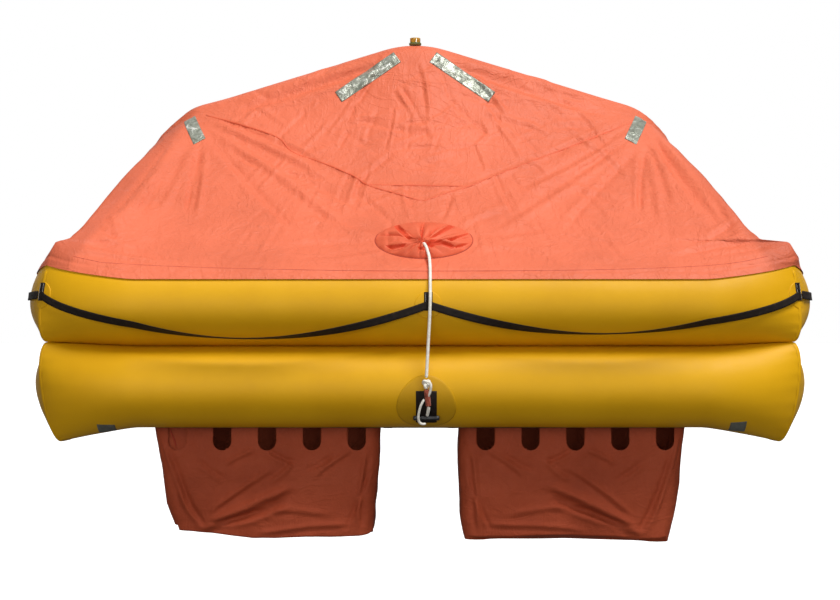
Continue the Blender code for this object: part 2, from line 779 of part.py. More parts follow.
def web_ring(tube, side, a, z, twist, dip):
    """The corners of the webbing's section where its middle is at height z: it dips on to its tabs."""
    _, out, along, half = side
    centre, tilt = skin_at(tube, side, a, z)
    low, _ = skin_at(tube, side, max(a - WEB_LOOK, -half), z)
    high, _ = skin_at(tube, side, min(a + WEB_LOOK, half), z)
    run = (high - low).normalized()
    level = run.cross(Vector((0, 0, 1)))
    level = level if level.dot(out) > 0 else -level
    flat_dir = Vector((0, 0, 1)) * cos(tilt) - level * sin(tilt)
    face = level * cos(tilt) + Vector((0, 0, 1)) * sin(tilt)
    wide = flat_dir * cos(twist) + face * sin(twist)
    thick = face * cos(twist) - flat_dir * sin(twist)
    near = max(0.0, 1 - (half - abs(a)) / MITRE_REACH)
    stand = lerp(WEB_STAND, WEB_STAND_MITRE, near) - dip
    centre = centre + face * (stand + WEB_THICK / 2 + abs(sin(twist)) * WEB_WIDTH / 2)
    return [
        centre + wide * (i * WEB_WIDTH / 2) + thick * (j * WEB_THICK / 2)
        for i, j in ((-1, -1), (1, -1), (1, 1), (-1, 1))
    ]


def web_span(name, side, a0, a1, heights, drop, twist, dip, steps):
    """A length of webbing that sags along one straight side between two distances from its middle."""
    rings = []
    for n in range(steps + 1):
        t = n / steps
        z = swag(t, heights[0], heights[1], drop)
        end_dip = 0.0 if 0 < n < steps else dip
        rings.append(web_ring(UPPER, side, lerp(a0, a1, t), z, twist * sin(pi * t) ** 2, end_dip))
    return loft(name, rings, "webbing")


def make_lifeline():
    """A side span by side: its line, ends, heights there, sag, twist, dip at the ends and steps."""
    x, y = HALF_LENGTH + UPPER_SPREAD, HALF_WIDTH
    front = (Vector((0, -y, 0)), Vector((0, -1, 0)), Vector((1, 0, 0)), MITRE_X)
    rear = (Vector((0, y, 0)), Vector((0, 1, 0)), Vector((1, 0, 0)), MITRE_X)
    left = (Vector((-x, 0, 0)), Vector((-1, 0, 0)), Vector((0, 1, 0)), y)
    right = (Vector((x, 0, 0)), Vector((1, 0, 0)), Vector((0, 1, 0)), y)
    z, middle = LIFELINE_Z, CENTRE_PATCH_Z
    length, width = MITRE_X - SPAN_CLEAR, y - SPAN_CLEAR
    left_end, right_end = FRONT_PATCH_X - MIDDLE_CLEAR, FRONT_PATCH_X + MIDDLE_CLEAR
    door = REAR_PATCH_X - SPAN_CLEAR
    spans = (
        ("front_left", front, -length, left_end, (z, middle), 0.135, TWIST, 0.0028, 26),
        ("front_right", front, right_end, length, (middle, z), 0.118, TWIST, 0.0028, 26),
        ("left", left, -width, width, (z, z), 0.03, 0.0, 0.0027, 28),
        ("right", right, -width, width, (z, z), 0.03, 0.0, 0.0027, 28),
        ("rear_left", rear, -length, -door, (z, z), 0.08, 0.0, 0.0, 14),
        ("rear_right", rear, door, length, (z, z), 0.08, 0.0, 0.0019, 14),
    )
    for word, *span in spans:
        web_span(f"lifeline_{word}", *span)


# Water pockets

def rounded_plan(half_x, half_y, radius, steps=3):
    points = []
    in_x, in_y = half_x - radius, half_y - radius
    for cx, cy, start in ((1, 1, 0), (-1, 1, 90), (-1, -1, 180), (1, -1, 270)):
        for n in range(steps + 1):
            a = radians(start + 90 * n / steps)
            points.append((cx * in_x + radius * cos(a), cy * in_y + radius * sin(a)))
    return points


def make_pocket(name, x, y, outer):
    """An open-topped bag that hangs from the floor, with slots along the top of its outer wall."""
    wide, deep, _ = POCKET_SIZE
    top = -WATERLINE_DEPTH - FLOOR_CLOTH - 4 * GAP
    rings = []
    for drop, share, corner in POCKET_LEVELS:
        plan = rounded_plan(wide / 2 * share, deep / 2 * (0.5 + share / 2), corner)
        rings.append([Vector((x + px, y + py, top - drop)) for px, py in plan])
    count = len(rings[0])
    points = [p for ring in rings for p in ring]
    faces = []
    for i in range(len(rings) - 1):
        for j in range(count):
            k = (j + 1) % count
            faces.append((i * count + j, (i + 1) * count + j, (i + 1) * count + k, i * count + k))
    faces.append(tuple(reversed(range((len(rings) - 1) * count, len(rings) * count))))
    obj = from_faces(name, points, faces, "pocket_fabric", closed=False)
    thick = obj.modifiers.new("wall", "SOLIDIFY")
    thick.thickness = POCKET_WALL
    thick.offset = -1.0
    for n in range(SLOTS):
        cx = x + (n - (SLOTS - 1) / 2) * SLOT_PITCH
        outline = [(SLOT_WIDTH / 2, SLOT_OVER), (-SLOT_WIDTH / 2, SLOT_OVER)]
        for k in range(7):
            a = pi + pi * k / 6
            outline.append((SLOT_WIDTH / 2 * cos(a), SLOT_WIDTH / 2 * (1 + sin(a)) - SLOT_DEPTH))
        wall_y = y + outer * deep / 2
        walls = (wall_y - SLOT_REACH, wall_y + SLOT_REACH)
        rings = [[Vector((cx + a, wall, top + b)) for a, b in outline] for wall in walls]
        boolean(obj, as_cutter(loft(f"{name}_slot_{n + 1}", rings, "pocket_fabric")), "DIFFERENCE")


def make_pockets():
    for sx, word in ((-1, "left"), (1, "right")):
        make_pocket(f"pocket_front_{word}", sx * FRONT_POCKET_X, -POCKET_Y, -1)
        make_pocket(f"pocket_rear_{word}", sx * REAR_POCKET_X, POCKET_Y, 1)


# Floor and what it carries

def make_floor():
    under = -WATERLINE_DEPTH - GAP
    reach_x, reach_y = HALF_LENGTH + FLOOR_REACH[0], HALF_WIDTH + FLOOR_REACH[1]
    corner = ((reach_x, FLOOR_CORNER[1]), (FLOOR_CORNER[0], reach_y))
    quarters = ((1, 1), (-1, 1), (-1, -1), (1, -1))
    plan = [(sx * x, sy * y) for sx, sy in quarters for x, y in corner[:: sx * sy]]
    rings = [[Vector((x, y, z)) for x, y in plan] for z in (under - FLOOR_CLOTH, under)]
    loft("floor_sheet", rings, "floor_fabric")
    half_x, half_y = HALF_LENGTH - MATTRESS_INSET, HALF_WIDTH - MATTRESS_INSET
    rings = []
    for z, inset in MATTRESS_LEVELS:
        plan = rounded_plan(half_x - inset, half_y - inset, MATTRESS_CORNER)
        rings.append([Vector((x, y, under + GAP + z)) for x, y in plan])
    loft("floor_mattress", rings, "floor_fabric")


def turned(name, profile, centre, axis, slot, sides=20):
    """A solid of revolution: profile holds (distance along the axis, radius)."""
    turn = Vector((0, 0, 1)).rotation_difference(Vector(axis)).to_matrix()
    angles = [2 * pi * n / sides for n in range(sides)]
    rings = []
    for along, radius in profile:
        ring = [Vector((radius * cos(a), radius * sin(a), along)) for a in angles]
        rings.append([Vector(centre) + turn @ p for p in ring])
    loft(name, rings, slot)


def make_under_gear():
    """The gas bottle in its straps, and the righting straps across the underside."""
    under = -WATERLINE_DEPTH - FLOOR_CLOTH - 2 * GAP
    middle = Vector((0, BOTTLE_Y, under - BOTTLE_R - GAP))
    turned("gas_bottle", BOTTLE_PROFILE, middle, (1, 0, 0), "gas_bottle")
    wide, long = RIGHTING_STRAP_HALF
    for side, word in ((-1, "left"), (1, "right")):
        make_bottle_strap(f"bottle_strap_{word}", side * BOTTLE_STRAP_X, middle, under)
        x = side * RIGHTING_STRAP_X
        low, high = (x - wide, -long, under - STRAP_THICK), (x + wide, long, under)
        box(f"righting_strap_{word}", low, high, "webbing")


def make_bottle_strap(name, x, middle, top):
    """A sling of webbing under the bottle, with its two ends flat against the floor."""
    inner = BOTTLE_R + LAID_GAP
    outer = inner + STRAP_THICK
    flare = outer + BOTTLE_STRAP_FLARE
    turns = [pi + pi * n / 12 for n in range(13)]
    line_in = [(inner * cos(a), middle.z + inner * sin(a)) for a in turns]
    line_out = [(outer * cos(a), middle.z + outer * sin(a)) for a in reversed(turns)]
    low = top - STRAP_THICK
    outline = [(-flare, top), (-inner, top)] + line_in + [(inner, top), (flare, top)]
    outline += [(flare, low), (outer, low)] + line_out + [(-outer, low), (-flare, low)]
    half = BOTTLE_STRAP_HALF
    rings = [[Vector((x + dx, middle.y + b, c)) for b, c in outline] for dx in (-half, half)]
    loft(name, rings, "webbing")


# Light, rope and tow patch

def make_light():
    middle, _ = arch_at(ARCH_SHIFT, arch_line())
    seat = Vector((ARCH_SHIFT, 0, middle.y + RIDGE_R + LIGHT_CLEAR))
    turned("light_base", LIGHT_BASE, seat, (0, 0, 1), "black_plastic", 16)
    seat.z += LIGHT_BASE[-1][0] + GAP
    turned("light_lens", LIGHT_LENS, seat, (0, 0, 1), "lamp_lens", 16)


def smooth_run(points, per_span):
    """Catmull-Rom points through a route."""
    route = [Vector(p) for p in points]
    route = [route[0] * 2 - route[1]] + route + [route[-1] * 2 - route[-2]]
    out = []
    for a, b, c, d in zip(route, route[1:], route[2:], route[3:]):
        for n in range(per_span):
            t = n / per_span
            square = (2 * a - 5 * b + 4 * c - d) * t**2
            cube = (3 * b - a - 3 * c + d) * t**3
            out.append(0.5 * (2 * b + (c - a) * t + square + cube))
    return out + [route[-2]]


def round_line(name, points, radius, slot):
    curve = bpy.data.curves.new(name, "CURVE")
    curve.dimensions = "3D"
    spline = curve.splines.new("POLY")
    spline.points.add(len(points) - 1)
    for spot, p in zip(spline.points, points):
        spot.co = (*p, 1)
    curve.bevel_depth = radius
    curve.bevel_resolution = 2
    curve.use_fill_caps = True
    curve.materials.append(material(slot))
    bpy.context.scene.collection.objects.link(bpy.data.objects.new(name, curve))


def make_rope():
    round_line("rope", smooth_run(ROPE_ROUTE, 2), ROPE_R, "rope")
    round_line("rope_end", smooth_run(END_ROUTE, 2), ROPE_R, "rope")
    round_line("rope_tail", smooth_run(TAIL_ROUTE, 2), ROPE_R * ROPE_TAIL_SHARE, "rope")
    knot = Vector(KNOT)
    turned("rope_knot", KNOT_PROFILE, knot, (0, 0, 1), "rope", 12)
    start = knot - Vector((0, 0, SLEEVE_DROP))
    axis = Vector(SLEEVE_END) - start
    end_r, middle_r = SLEEVE_R
    profile = [(0.0, end_r), (axis.length / 2, middle_r), (axis.length, end_r)]
    turned("rope_sleeve", profile, start, axis, "rope_sleeve", 12)


def make_tow_patch(shell):
    out = Vector((0, -cos(TOW_ANGLE), -sin(TOW_ANGLE)))
    base = Vector((TOW_X, -HALF_WIDTH, LOWER_Z)) + out * TUBE_R
    disc = disc_outline(TOW_DISC, 28)
    on_tube("tow_base", shell, "lower", LAID_GAP, DISC_THICK, disc, base, out, "tube_fabric")
    pad = plate_outline(*TOW_PAD, -TOW_PAD_DROP)
    on_tube("tow_pad", shell, "lower", DISC_THICK + LAID_GAP, TAB_THICK, pad, base, out, "webbing")
    arm = TUBE_R + TAB_THICK + TOW_BAR_CLEAR + TOW_BAR_R
    bar = (TOW_X, -HALF_WIDTH - arm * cos(TOW_BAR_ANGLE), LOWER_Z - arm * sin(TOW_BAR_ANGLE))
    turned("tow_bar", TOW_BAR_PROFILE, bar, (1, 0, 0), "webbing", 12)


def make_side_valves():
    """A relief and topping-up valve on each short side of the lower tube."""
    for sx, word in ((-1, "left"), (1, "right")):
        seat = (sx * (HALF_LENGTH + FLAT + GAP), VALVE_Y, LOWER_Z)
        turned(f"relief_valve_{word}", VALVE_PROFILE, seat, (sx, 0, 0), "black_plastic", 16)


def make_boarding_ladder():
    """A webbing ladder that hangs from the upper tube at the entrance."""
    near_y = HALF_WIDTH + FLAT + GAP
    far_y = near_y + LADDER_THICK
    corner, far_corner = (-LADDER_HALF, near_y, LADDER_RUNGS[0]), (LADDER_HALF, far_y, LADDER_TOP)
    obj = box("boarding_ladder", corner, far_corner, "webbing")
    inner = LADDER_HALF - LADDER_WEB
    for n, (rung, next_rung) in enumerate(zip(LADDER_RUNGS, LADDER_RUNGS[1:])):
        low = (-inner, near_y - LADDER_WEB, rung + LADDER_WEB)
        high = (inner, far_y + LADDER_WEB, next_rung)
        boolean(obj, as_cutter(box(f"ladder_window_{n + 1}", low, high, "webbing")), "DIFFERENCE")


def make_equipment_bag():
    floor = -WATERLINE_DEPTH + MATTRESS + GAP
    low = (BAG_X[0], -BAG_HALF_Y, floor)
    high = (BAG_X[1], BAG_HALF_Y, floor + BAG_HEIGHT)
    box("equipment_bag", low, high, "bag_fabric", BAG_ROUND)


def main():
    for obj in list(bpy.data.objects):
        bpy.data.objects.remove(obj)
    make_tubes()
    make_arch()
    canopy = make_canopy()
    make_reflective_tapes(canopy)
    make_door_roll(canopy)
    make_lookout_port(canopy)
    make_pockets()
    make_floor()
    make_under_gear()
    shell = shells()
    make_lifeline_patches(shell)
    make_lifeline()
    make_light()
    make_rope()
    make_tow_patch(shell)
    make_side_valves()
    make_boarding_ladder()
    make_equipment_bag()


main()
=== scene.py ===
"""Looks of the inflatable life raft: smooth puffed tubes, a wrinkled canopy with its gathered port,
hanging water pockets, webbing, rope and fittings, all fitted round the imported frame.

Metres, in the frame's axes: X along the closed long side, +Y towards the entrance, +Z up.
Picture coordinates are those of the 840 x 600 main view, and are used only to place folds and outlines.
"""

from math import acos, asin, cos, pi, radians, sin, sqrt
import bmesh
import bpy
import numpy as np
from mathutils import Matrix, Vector
from mathutils.bvhtree import BVHTree


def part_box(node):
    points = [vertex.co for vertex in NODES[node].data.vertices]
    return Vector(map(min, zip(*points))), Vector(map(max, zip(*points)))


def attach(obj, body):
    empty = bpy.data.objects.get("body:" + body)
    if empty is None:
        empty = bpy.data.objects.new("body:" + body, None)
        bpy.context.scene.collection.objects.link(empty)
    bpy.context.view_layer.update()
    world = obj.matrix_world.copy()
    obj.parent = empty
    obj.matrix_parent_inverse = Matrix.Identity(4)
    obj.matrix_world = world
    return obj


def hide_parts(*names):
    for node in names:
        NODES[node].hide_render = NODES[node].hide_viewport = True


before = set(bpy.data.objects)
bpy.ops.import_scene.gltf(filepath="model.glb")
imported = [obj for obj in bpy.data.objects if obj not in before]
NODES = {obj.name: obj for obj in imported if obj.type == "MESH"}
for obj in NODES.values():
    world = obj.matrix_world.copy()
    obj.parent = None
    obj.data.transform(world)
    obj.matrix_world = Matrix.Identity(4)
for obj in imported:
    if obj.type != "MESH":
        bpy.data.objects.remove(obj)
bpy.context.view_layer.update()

# Camera and picture
VIEW_FROM = (0.0, -7.2, 0.665)
PITCH = radians(2.0)
FOCAL_PIXELS = 1717.0
PICTURE_MIDDLE = (420.0, 300.0)
SENSOR = 36.0
PICTURE_WIDTH = 840.0
FLOOR_Z = -1.6

# Tubes, as the frame has them, with a smooth skin that touches the frame's flats
TUBE_R = 0.1535
FLAT = TUBE_R * cos(pi / 20)
SMOOTH_R = FLAT + 0.0003
WATERLINE_DEPTH = 0.029
LOWER_Z = FLAT - WATERLINE_DEPTH
UPPER_Z = LOWER_Z + 2 * FLAT + 0.0003
HALF_LENGTH = 1.33
UPPER_SPREAD = 0.02
HALF_WIDTH = 0.8475
MITRE_X = 1.356
MITRE_REACH = 0.32
MITRE_OUT = 0.042
MITRE_IN = 0.134
MITRE_LEAN = 0.02
MITRE_SOFT = 0.12
MITRE_FALL = 1.35
TUBES = {
    # height, spread, rise of the upper and the lower ear, lean
    "lower": (LOWER_Z, 0.0, 0.0138, 0.055, 1),
    "upper": (UPPER_Z, UPPER_SPREAD, 0.080, -0.0153, -1),
}

# Cross arch
ARCH_R = 0.072
ARCH_FOOT_X = 1.29
ARCH_BEND = (0.892, 1.137)
ARCH_PEAK_Z = 1.409
ARCH_SHIFT = -0.02
BEND_RADIUS = 0.16
PEAK_RADIUS = 0.36

# Canopy
CLOTH_LIFT = 0.0054
# Where the painted shade of the canopy's end panels begins: |X| at the level of Z = 0, its fall for each metre up, and
# the edge's softness
SHADED_END_PANEL = (1.586, 0.557, 0.035)
HEM_ANGLE = radians(38)
LEAVE_ANGLE = radians(68)
LEAVE_ANGLE_MITRE = radians(86)
RIDGE_R = 0.083
RIDGE_WRAP = radians(63)
HIP_WRAP = radians(48)
SLACK = 0.36
PULLED_FLAT = 0.1
HEM_ROWS = 14
HEM_ROW = 0.006
CANOPY_ROWS = 138
CANOPY_STEP = 0.0064
CANOPY_REAR_STEP = 0.024
CANOPY_END_STEP = 0.034
CANOPY_CORNER_STEP = 0.014
HEM_BAND = 0.036
DOOR_HALF = 0.44
DOOR_TOP_HALF = 0.27
DOOR_SILL_Z = 0.612
DOOR_TOP_Z = 1.15
DOOR_ROUND = 0.15

# Rope and its ends, as the frame has them
ROPE_R = 0.006
TAIL_SHARE = 0.8
KNOT = (0.023, -1.023, 0.147)
ROPE_ROUTE = (
    (0.0120, -0.8285, 0.6515),
    (0.0170, -0.8450, 0.6500),
    (0.0240, -0.8560, 0.6370),
    (0.0295, -0.8730, 0.6195),
    (0.0340, -0.8930, 0.6020),
    (0.0360, -0.9270, 0.5800),
    (0.037, -0.9600, 0.5560),
    (0.037, -0.9860, 0.5240),
    (0.037, -1.0030, 0.4920),
    (0.037, -1.0150, 0.4600),
    (0.036, -1.0190, 0.4250),
    (0.034, -1.0200, 0.3700),
    (0.030, -1.0200, 0.3000),
    (0.026, -1.0210, 0.2200),
    (0.023, -1.0230, 0.1680),
)
END_ROUTE = (
    (0.0312, -1.0097, 0.0650),
    (0.0308, -1.0075, 0.0550),
    (0.0290, -1.0010, 0.0420),
    (0.0272, -0.9938, 0.0325),
    (0.0262, -0.9876, 0.0261),
)
TAIL_ROUTE = (
    (0.0140, -1.0205, 0.0910),
    (0.0108, -1.0200, 0.0827),
    (0.0025, -1.0180, 0.0662),
    (-0.0036, -1.0130, 0.0440),
    (-0.0061, -1.0070, 0.0216),
    (-0.0022, -1.0010, 0.0057),
    (0.0083, -0.9980, -0.0012),
    (0.0217, -0.9960, -0.0006),
)
STRAND_ROUTE = (
    (0.0300, -1.0290, 0.1560),
    (0.0375, -1.0310, 0.1480),
    (0.0392, -1.0310, 0.1380),
    (0.0375, -1.0280, 0.1230),
    (0.0330, -1.0240, 0.1080),
    (0.0280, -1.0200, 0.0990),
)


def lerp(a, b, t):
    return a + (b - a) * t


def picture(points):
    """Picture coordinates of points, for placing folds where the main view shows them."""
    away, up = points[..., 1] - VIEW_FROM[1], points[..., 2] - VIEW_FROM[2]
    depth = away * cos(PITCH) - up * sin(PITCH)
    x = PICTURE_MIDDLE[0] + FOCAL_PIXELS * points[..., 0] / depth
    y = PICTURE_MIDDLE[1] - FOCAL_PIXELS * (away * sin(PITCH) + up * cos(PITCH)) / depth
    return x, y


# Materials

def tree_of(name):
    made = bpy.data.materials.new(name)
    made.use_nodes = True
    tree = made.node_tree
    return made, tree, tree.nodes["Principled BSDF"]


def add(tree, kind, links=(), **values):
    """A node with its inputs set by name or number, and links given as (input, output socket)."""
    node = tree.nodes.new(kind)
    for key, value in values.items():
        if hasattr(node, key):
            setattr(node, key, value)
        else:
            node.inputs[key.replace("_", " ")].default_value = value
    for socket, source in links:
        tree.links.new(source, node.inputs[socket])
    return node


def noise(tree, where, scale, detail=3.0, roughness=0.55, distortion=0.0):
    node = add(tree, "ShaderNodeTexNoise", [("Vector", where)], Scale=scale, Detail=detail, Distortion=distortion)
    node.inputs["Roughness"].default_value = roughness
    return node.outputs["Fac"]


def stretched(tree, where, scale):
    node = add(tree, "ShaderNodeMapping", [("Vector", where)])
    node.inputs["Scale"].default_value = scale
    return node.outputs["Vector"]


def ramp(tree, fac, stops):
    node = add(tree, "ShaderNodeValToRGB", [("Fac", fac)])
    marks = node.color_ramp.elements
    while len(marks) < len(stops):
        marks.new(0.5)
    for mark, (at, colour) in zip(marks, stops):
        mark.position = at
        mark.color = (*colour, 1.0)
    return node.outputs["Color"]


def math(tree, operation, a, b=None, clamp=False):
    node = tree.nodes.new("ShaderNodeMath")
    node.operation = operation
    node.use_clamp = clamp
    for n, value in enumerate((a, b)):
        if value is None:
            continue
        if isinstance(value, (int, float)):
            node.inputs[n].default_value = value
        else:
            tree.links.new(value, node.inputs[n])
    return node.outputs[0]


def mix(tree, fac, a, b, blend="MIX"):
    node = tree.nodes.new("ShaderNodeMix")
    node.data_type = "RGBA"
    node.blend_type = blend
    for socket, value in ((0, fac), (6, a), (7, b)):
        if isinstance(value, (int, float)):
            node.inputs[socket].default_value = value
        elif isinstance(value, tuple):
            node.inputs[socket].default_value = (*value, 1.0)
        else:
            tree.links.new(value, node.inputs[socket])
    return node.outputs[2]


def bump(tree, height, strength, distance, below=None):
    node = add(tree, "ShaderNodeBump", [("Height", height)], Strength=strength, Distance=distance)
    if below is not None:
        tree.links.new(below, node.inputs["Normal"])
    return node.outputs["Normal"]


def weave(tree, uv, pitch):
    """Height of a plain weave: threads across each other, pitch metres apart."""
    parts = add(tree, "ShaderNodeSeparateXYZ", [("Vector", uv)])
    across = math(tree, "SINE", math(tree, "MULTIPLY", parts.outputs["X"], 2 * pi / pitch))
    along = math(tree, "SINE", math(tree, "MULTIPLY", parts.outputs["Y"], 2 * pi / pitch))
    return math(tree, "MULTIPLY", across, along)


def creases(tree, where, scale, wander, sharp):
    """Thin wandering ridges, like the creases of light cloth that has been packed."""
    run = noise(tree, where, scale, 3.0, 0.5, wander)
    off = math(tree, "ABSOLUTE", math(tree, "SUBTRACT", run, 0.5))
    return math(tree, "SUBTRACT", 1.0, math(tree, "MULTIPLY", off, sharp), clamp=True)


def end_share(tree, solid):
    """Mask of the painted shade on the canopy's two end panels: 1 on them, 0 on its long sides, with a soft edge along
    the seams between them.
    """
    split = add(tree, "ShaderNodeSeparateXYZ", [("Vector", solid)])
    along = math(tree, "ABSOLUTE", split.outputs["X"], 0.0)
    edge = math(tree, "ADD", math(tree, "MULTIPLY", split.outputs["Z"], -SHADED_END_PANEL[1]), SHADED_END_PANEL[0])
    return math(tree, "MULTIPLY", math(tree, "SUBTRACT", along, edge), 1 / SHADED_END_PANEL[2], clamp=True)


def cloth_material(name, colours, roughness, pitch, tone_scale, crinkle=None, sheen=0.0, weave_bump=0.3,
                   coat=0.0, fleck=0.12, specular=0.5, creased=None, ends=1.0):
    """A coated or woven cloth: blotchy tone, a fine weave, small crinkles, a satin shine, and painted shade on the
    canopy's end panels when ends is below 1.
    """
    made, tree, shader = tree_of(name)
    where = tree.nodes.new("ShaderNodeTexCoord")
    uv, solid = where.outputs["UV"], where.outputs["Object"]
    tone = noise(tree, solid, tone_scale, 4.0, 0.6)
    colour = ramp(tree, tone, [(0.30, colours[0]), (0.52, colours[1]), (0.74, colours[2])])
    threads = weave(tree, uv, pitch)
    specks = noise(tree, solid, 420.0, 2.0)
    colour = mix(tree, fleck, colour, ramp(tree, specks, [(0.35, (0.55, 0.55, 0.55)), (0.65, (1.0, 1.0, 1.0))]),
                 "MULTIPLY")
    # Painted shade: the end panels' colour is multiplied down, a little redder, to stand for the shade they lie in.
    if ends < 1.0:
        colour = mix(tree, end_share(tree, solid), colour, (ends, ends * 0.97, ends * 0.95), "MULTIPLY")
    tree.links.new(colour, shader.inputs["Base Color"])
    rough = math(tree, "ADD", math(tree, "MULTIPLY", noise(tree, solid, 35.0, 3.0), 0.22), roughness - 0.11)
    tree.links.new(rough, shader.inputs["Roughness"])
    normal = bump(tree, threads, weave_bump, 0.0003)
    if crinkle:
        scale, strength, distance = crinkle
        ridges = noise(tree, stretched(tree, solid, (1.0, 1.0, 0.55)), scale, 5.0, 0.62, 0.8)
        normal = bump(tree, ridges, strength, distance, normal)
    for at, stretch, scale, wander, sharp, strength, distance in creased or ():
        where_to = stretched(tree, solid, stretch)
        spread = noise(tree, solid, at, 2.0)
        height = math(tree, "MULTIPLY", creases(tree, where_to, scale, wander, sharp), spread)
        normal = bump(tree, height, strength, distance, normal)
    tree.links.new(normal, shader.inputs["Normal"])
    shader.inputs["Sheen Weight"].default_value = sheen
    shader.inputs["Coat Weight"].default_value = coat
    shader.inputs["Coat Roughness"].default_value = 0.35
    shader.inputs["Specular IOR Level"].default_value = specular
    return made


def webbing_material():
    made, tree, shader = tree_of("webbing")
    where = tree.nodes.new("ShaderNodeTexCoord")
    uv = where.outputs["UV"]
    parts = add(tree, "ShaderNodeSeparateXYZ", [("Vector", uv)])
    slant = math(tree, "ADD", math(tree, "MULTIPLY", parts.outputs["X"], 2200.0),
                 math(tree, "MULTIPLY", math(tree, "ABSOLUTE", parts.outputs["Y"]), 2200.0))
    ribs = math(tree, "SINE", slant)
    dust = noise(tree, where.outputs["Object"], 60.0, 4.0)
    colour = ramp(tree, dust, [(0.3, (0.010, 0.006, 0.004)), (0.6, (0.018, 0.011, 0.008)), (0.8, (0.040, 0.028, 0.020))])
    tree.links.new(colour, shader.inputs["Base Color"])
    tree.links.new(bump(tree, ribs, 0.5, 0.0004), shader.inputs["Normal"])
    shader.inputs["Roughness"].default_value = 0.62
    shader.inputs["Specular IOR Level"].default_value = 0.25
    return made


def tape_material():
    """Crinkled retroreflective tape: grey-green, with painted highlights, near-white patches in its colour that stand
    for glints along its creases.
    """
    made, tree, shader = tree_of("reflective_tape")
    where = tree.nodes.new("ShaderNodeTexCoord")
    solid, uv = where.outputs["Object"], where.outputs["UV"]
    cells = add(tree, "ShaderNodeTexVoronoi", [("Vector", uv)], Scale=320.0)
    patches = noise(tree, solid, 26.0, 5.0, 0.65, 1.2)
    # The near-white last stop is a painted highlight: glints of the crinkled tape.
    colour = ramp(tree, patches, [(0.34, (0.20, 0.215, 0.165)), (0.50, (0.33, 0.345, 0.28)), (0.60, (0.44, 0.46, 0.39)),
                                  (0.66, (0.93, 0.93, 0.86))])
    tree.links.new(colour, shader.inputs["Base Color"])
    normal = bump(tree, cells.outputs["Distance"], 0.35, 0.0004)
    normal = bump(tree, patches, 0.9, 0.006, normal)
    tree.links.new(normal, shader.inputs["Normal"])
    shader.inputs["Metallic"].default_value = 0.35
    shader.inputs["Roughness"].default_value = 0.32
    return made


def plastic_material(name, low, high, roughness, grain=180.0, metallic=0.0):
    made, tree, shader = tree_of(name)
    solid = tree.nodes.new("ShaderNodeTexCoord").outputs["Object"]
    tone = noise(tree, solid, 40.0, 4.0)
    tree.links.new(ramp(tree, tone, [(0.3, low), (0.7, high)]), shader.inputs["Base Color"])
    rough = math(tree, "ADD", math(tree, "MULTIPLY", noise(tree, solid, 90.0, 4.0), 0.2), roughness - 0.1)
    tree.links.new(rough, shader.inputs["Roughness"])
    tree.links.new(bump(tree, noise(tree, solid, grain * 8, 2.0), 0.15, 0.0003), shader.inputs["Normal"])
    shader.inputs["Metallic"].default_value = metallic
    return made


def rope_material(name, low, high):
    made, tree, shader = tree_of(name)
    where = tree.nodes.new("ShaderNodeTexCoord")
    tone = noise(tree, where.outputs["Object"], 90.0, 4.0)
    fibres = noise(tree, stretched(tree, where.outputs["UV"], (300.0, 2600.0, 1.0)), 1.0, 3.0)
    tree.links.new(ramp(tree, tone, [(0.3, low), (0.65, high)]), shader.inputs["Base Color"])
    tree.links.new(bump(tree, fibres, 0.5, 0.0006), shader.inputs["Normal"])
    shader.inputs["Roughness"].default_value = 0.8
    shader.inputs["Sheen Weight"].default_value = 0.2
    return made


def lens_material():
    made, tree, shader = tree_of("lamp_lens")
    solid = tree.nodes.new("ShaderNodeTexCoord").outputs["Object"]
    tone = noise(tree, solid, 60.0, 3.0)
    tree.links.new(ramp(tree, tone, [(0.3, (0.62, 0.30, 0.02)), (0.7, (0.85, 0.50, 0.05))]), shader.inputs["Base Color"])
    shader.inputs["Roughness"].default_value = 0.14
    shader.inputs["Transmission Weight"].default_value = 0.25
    shader.inputs["Coat Weight"].default_value = 0.5
    return made


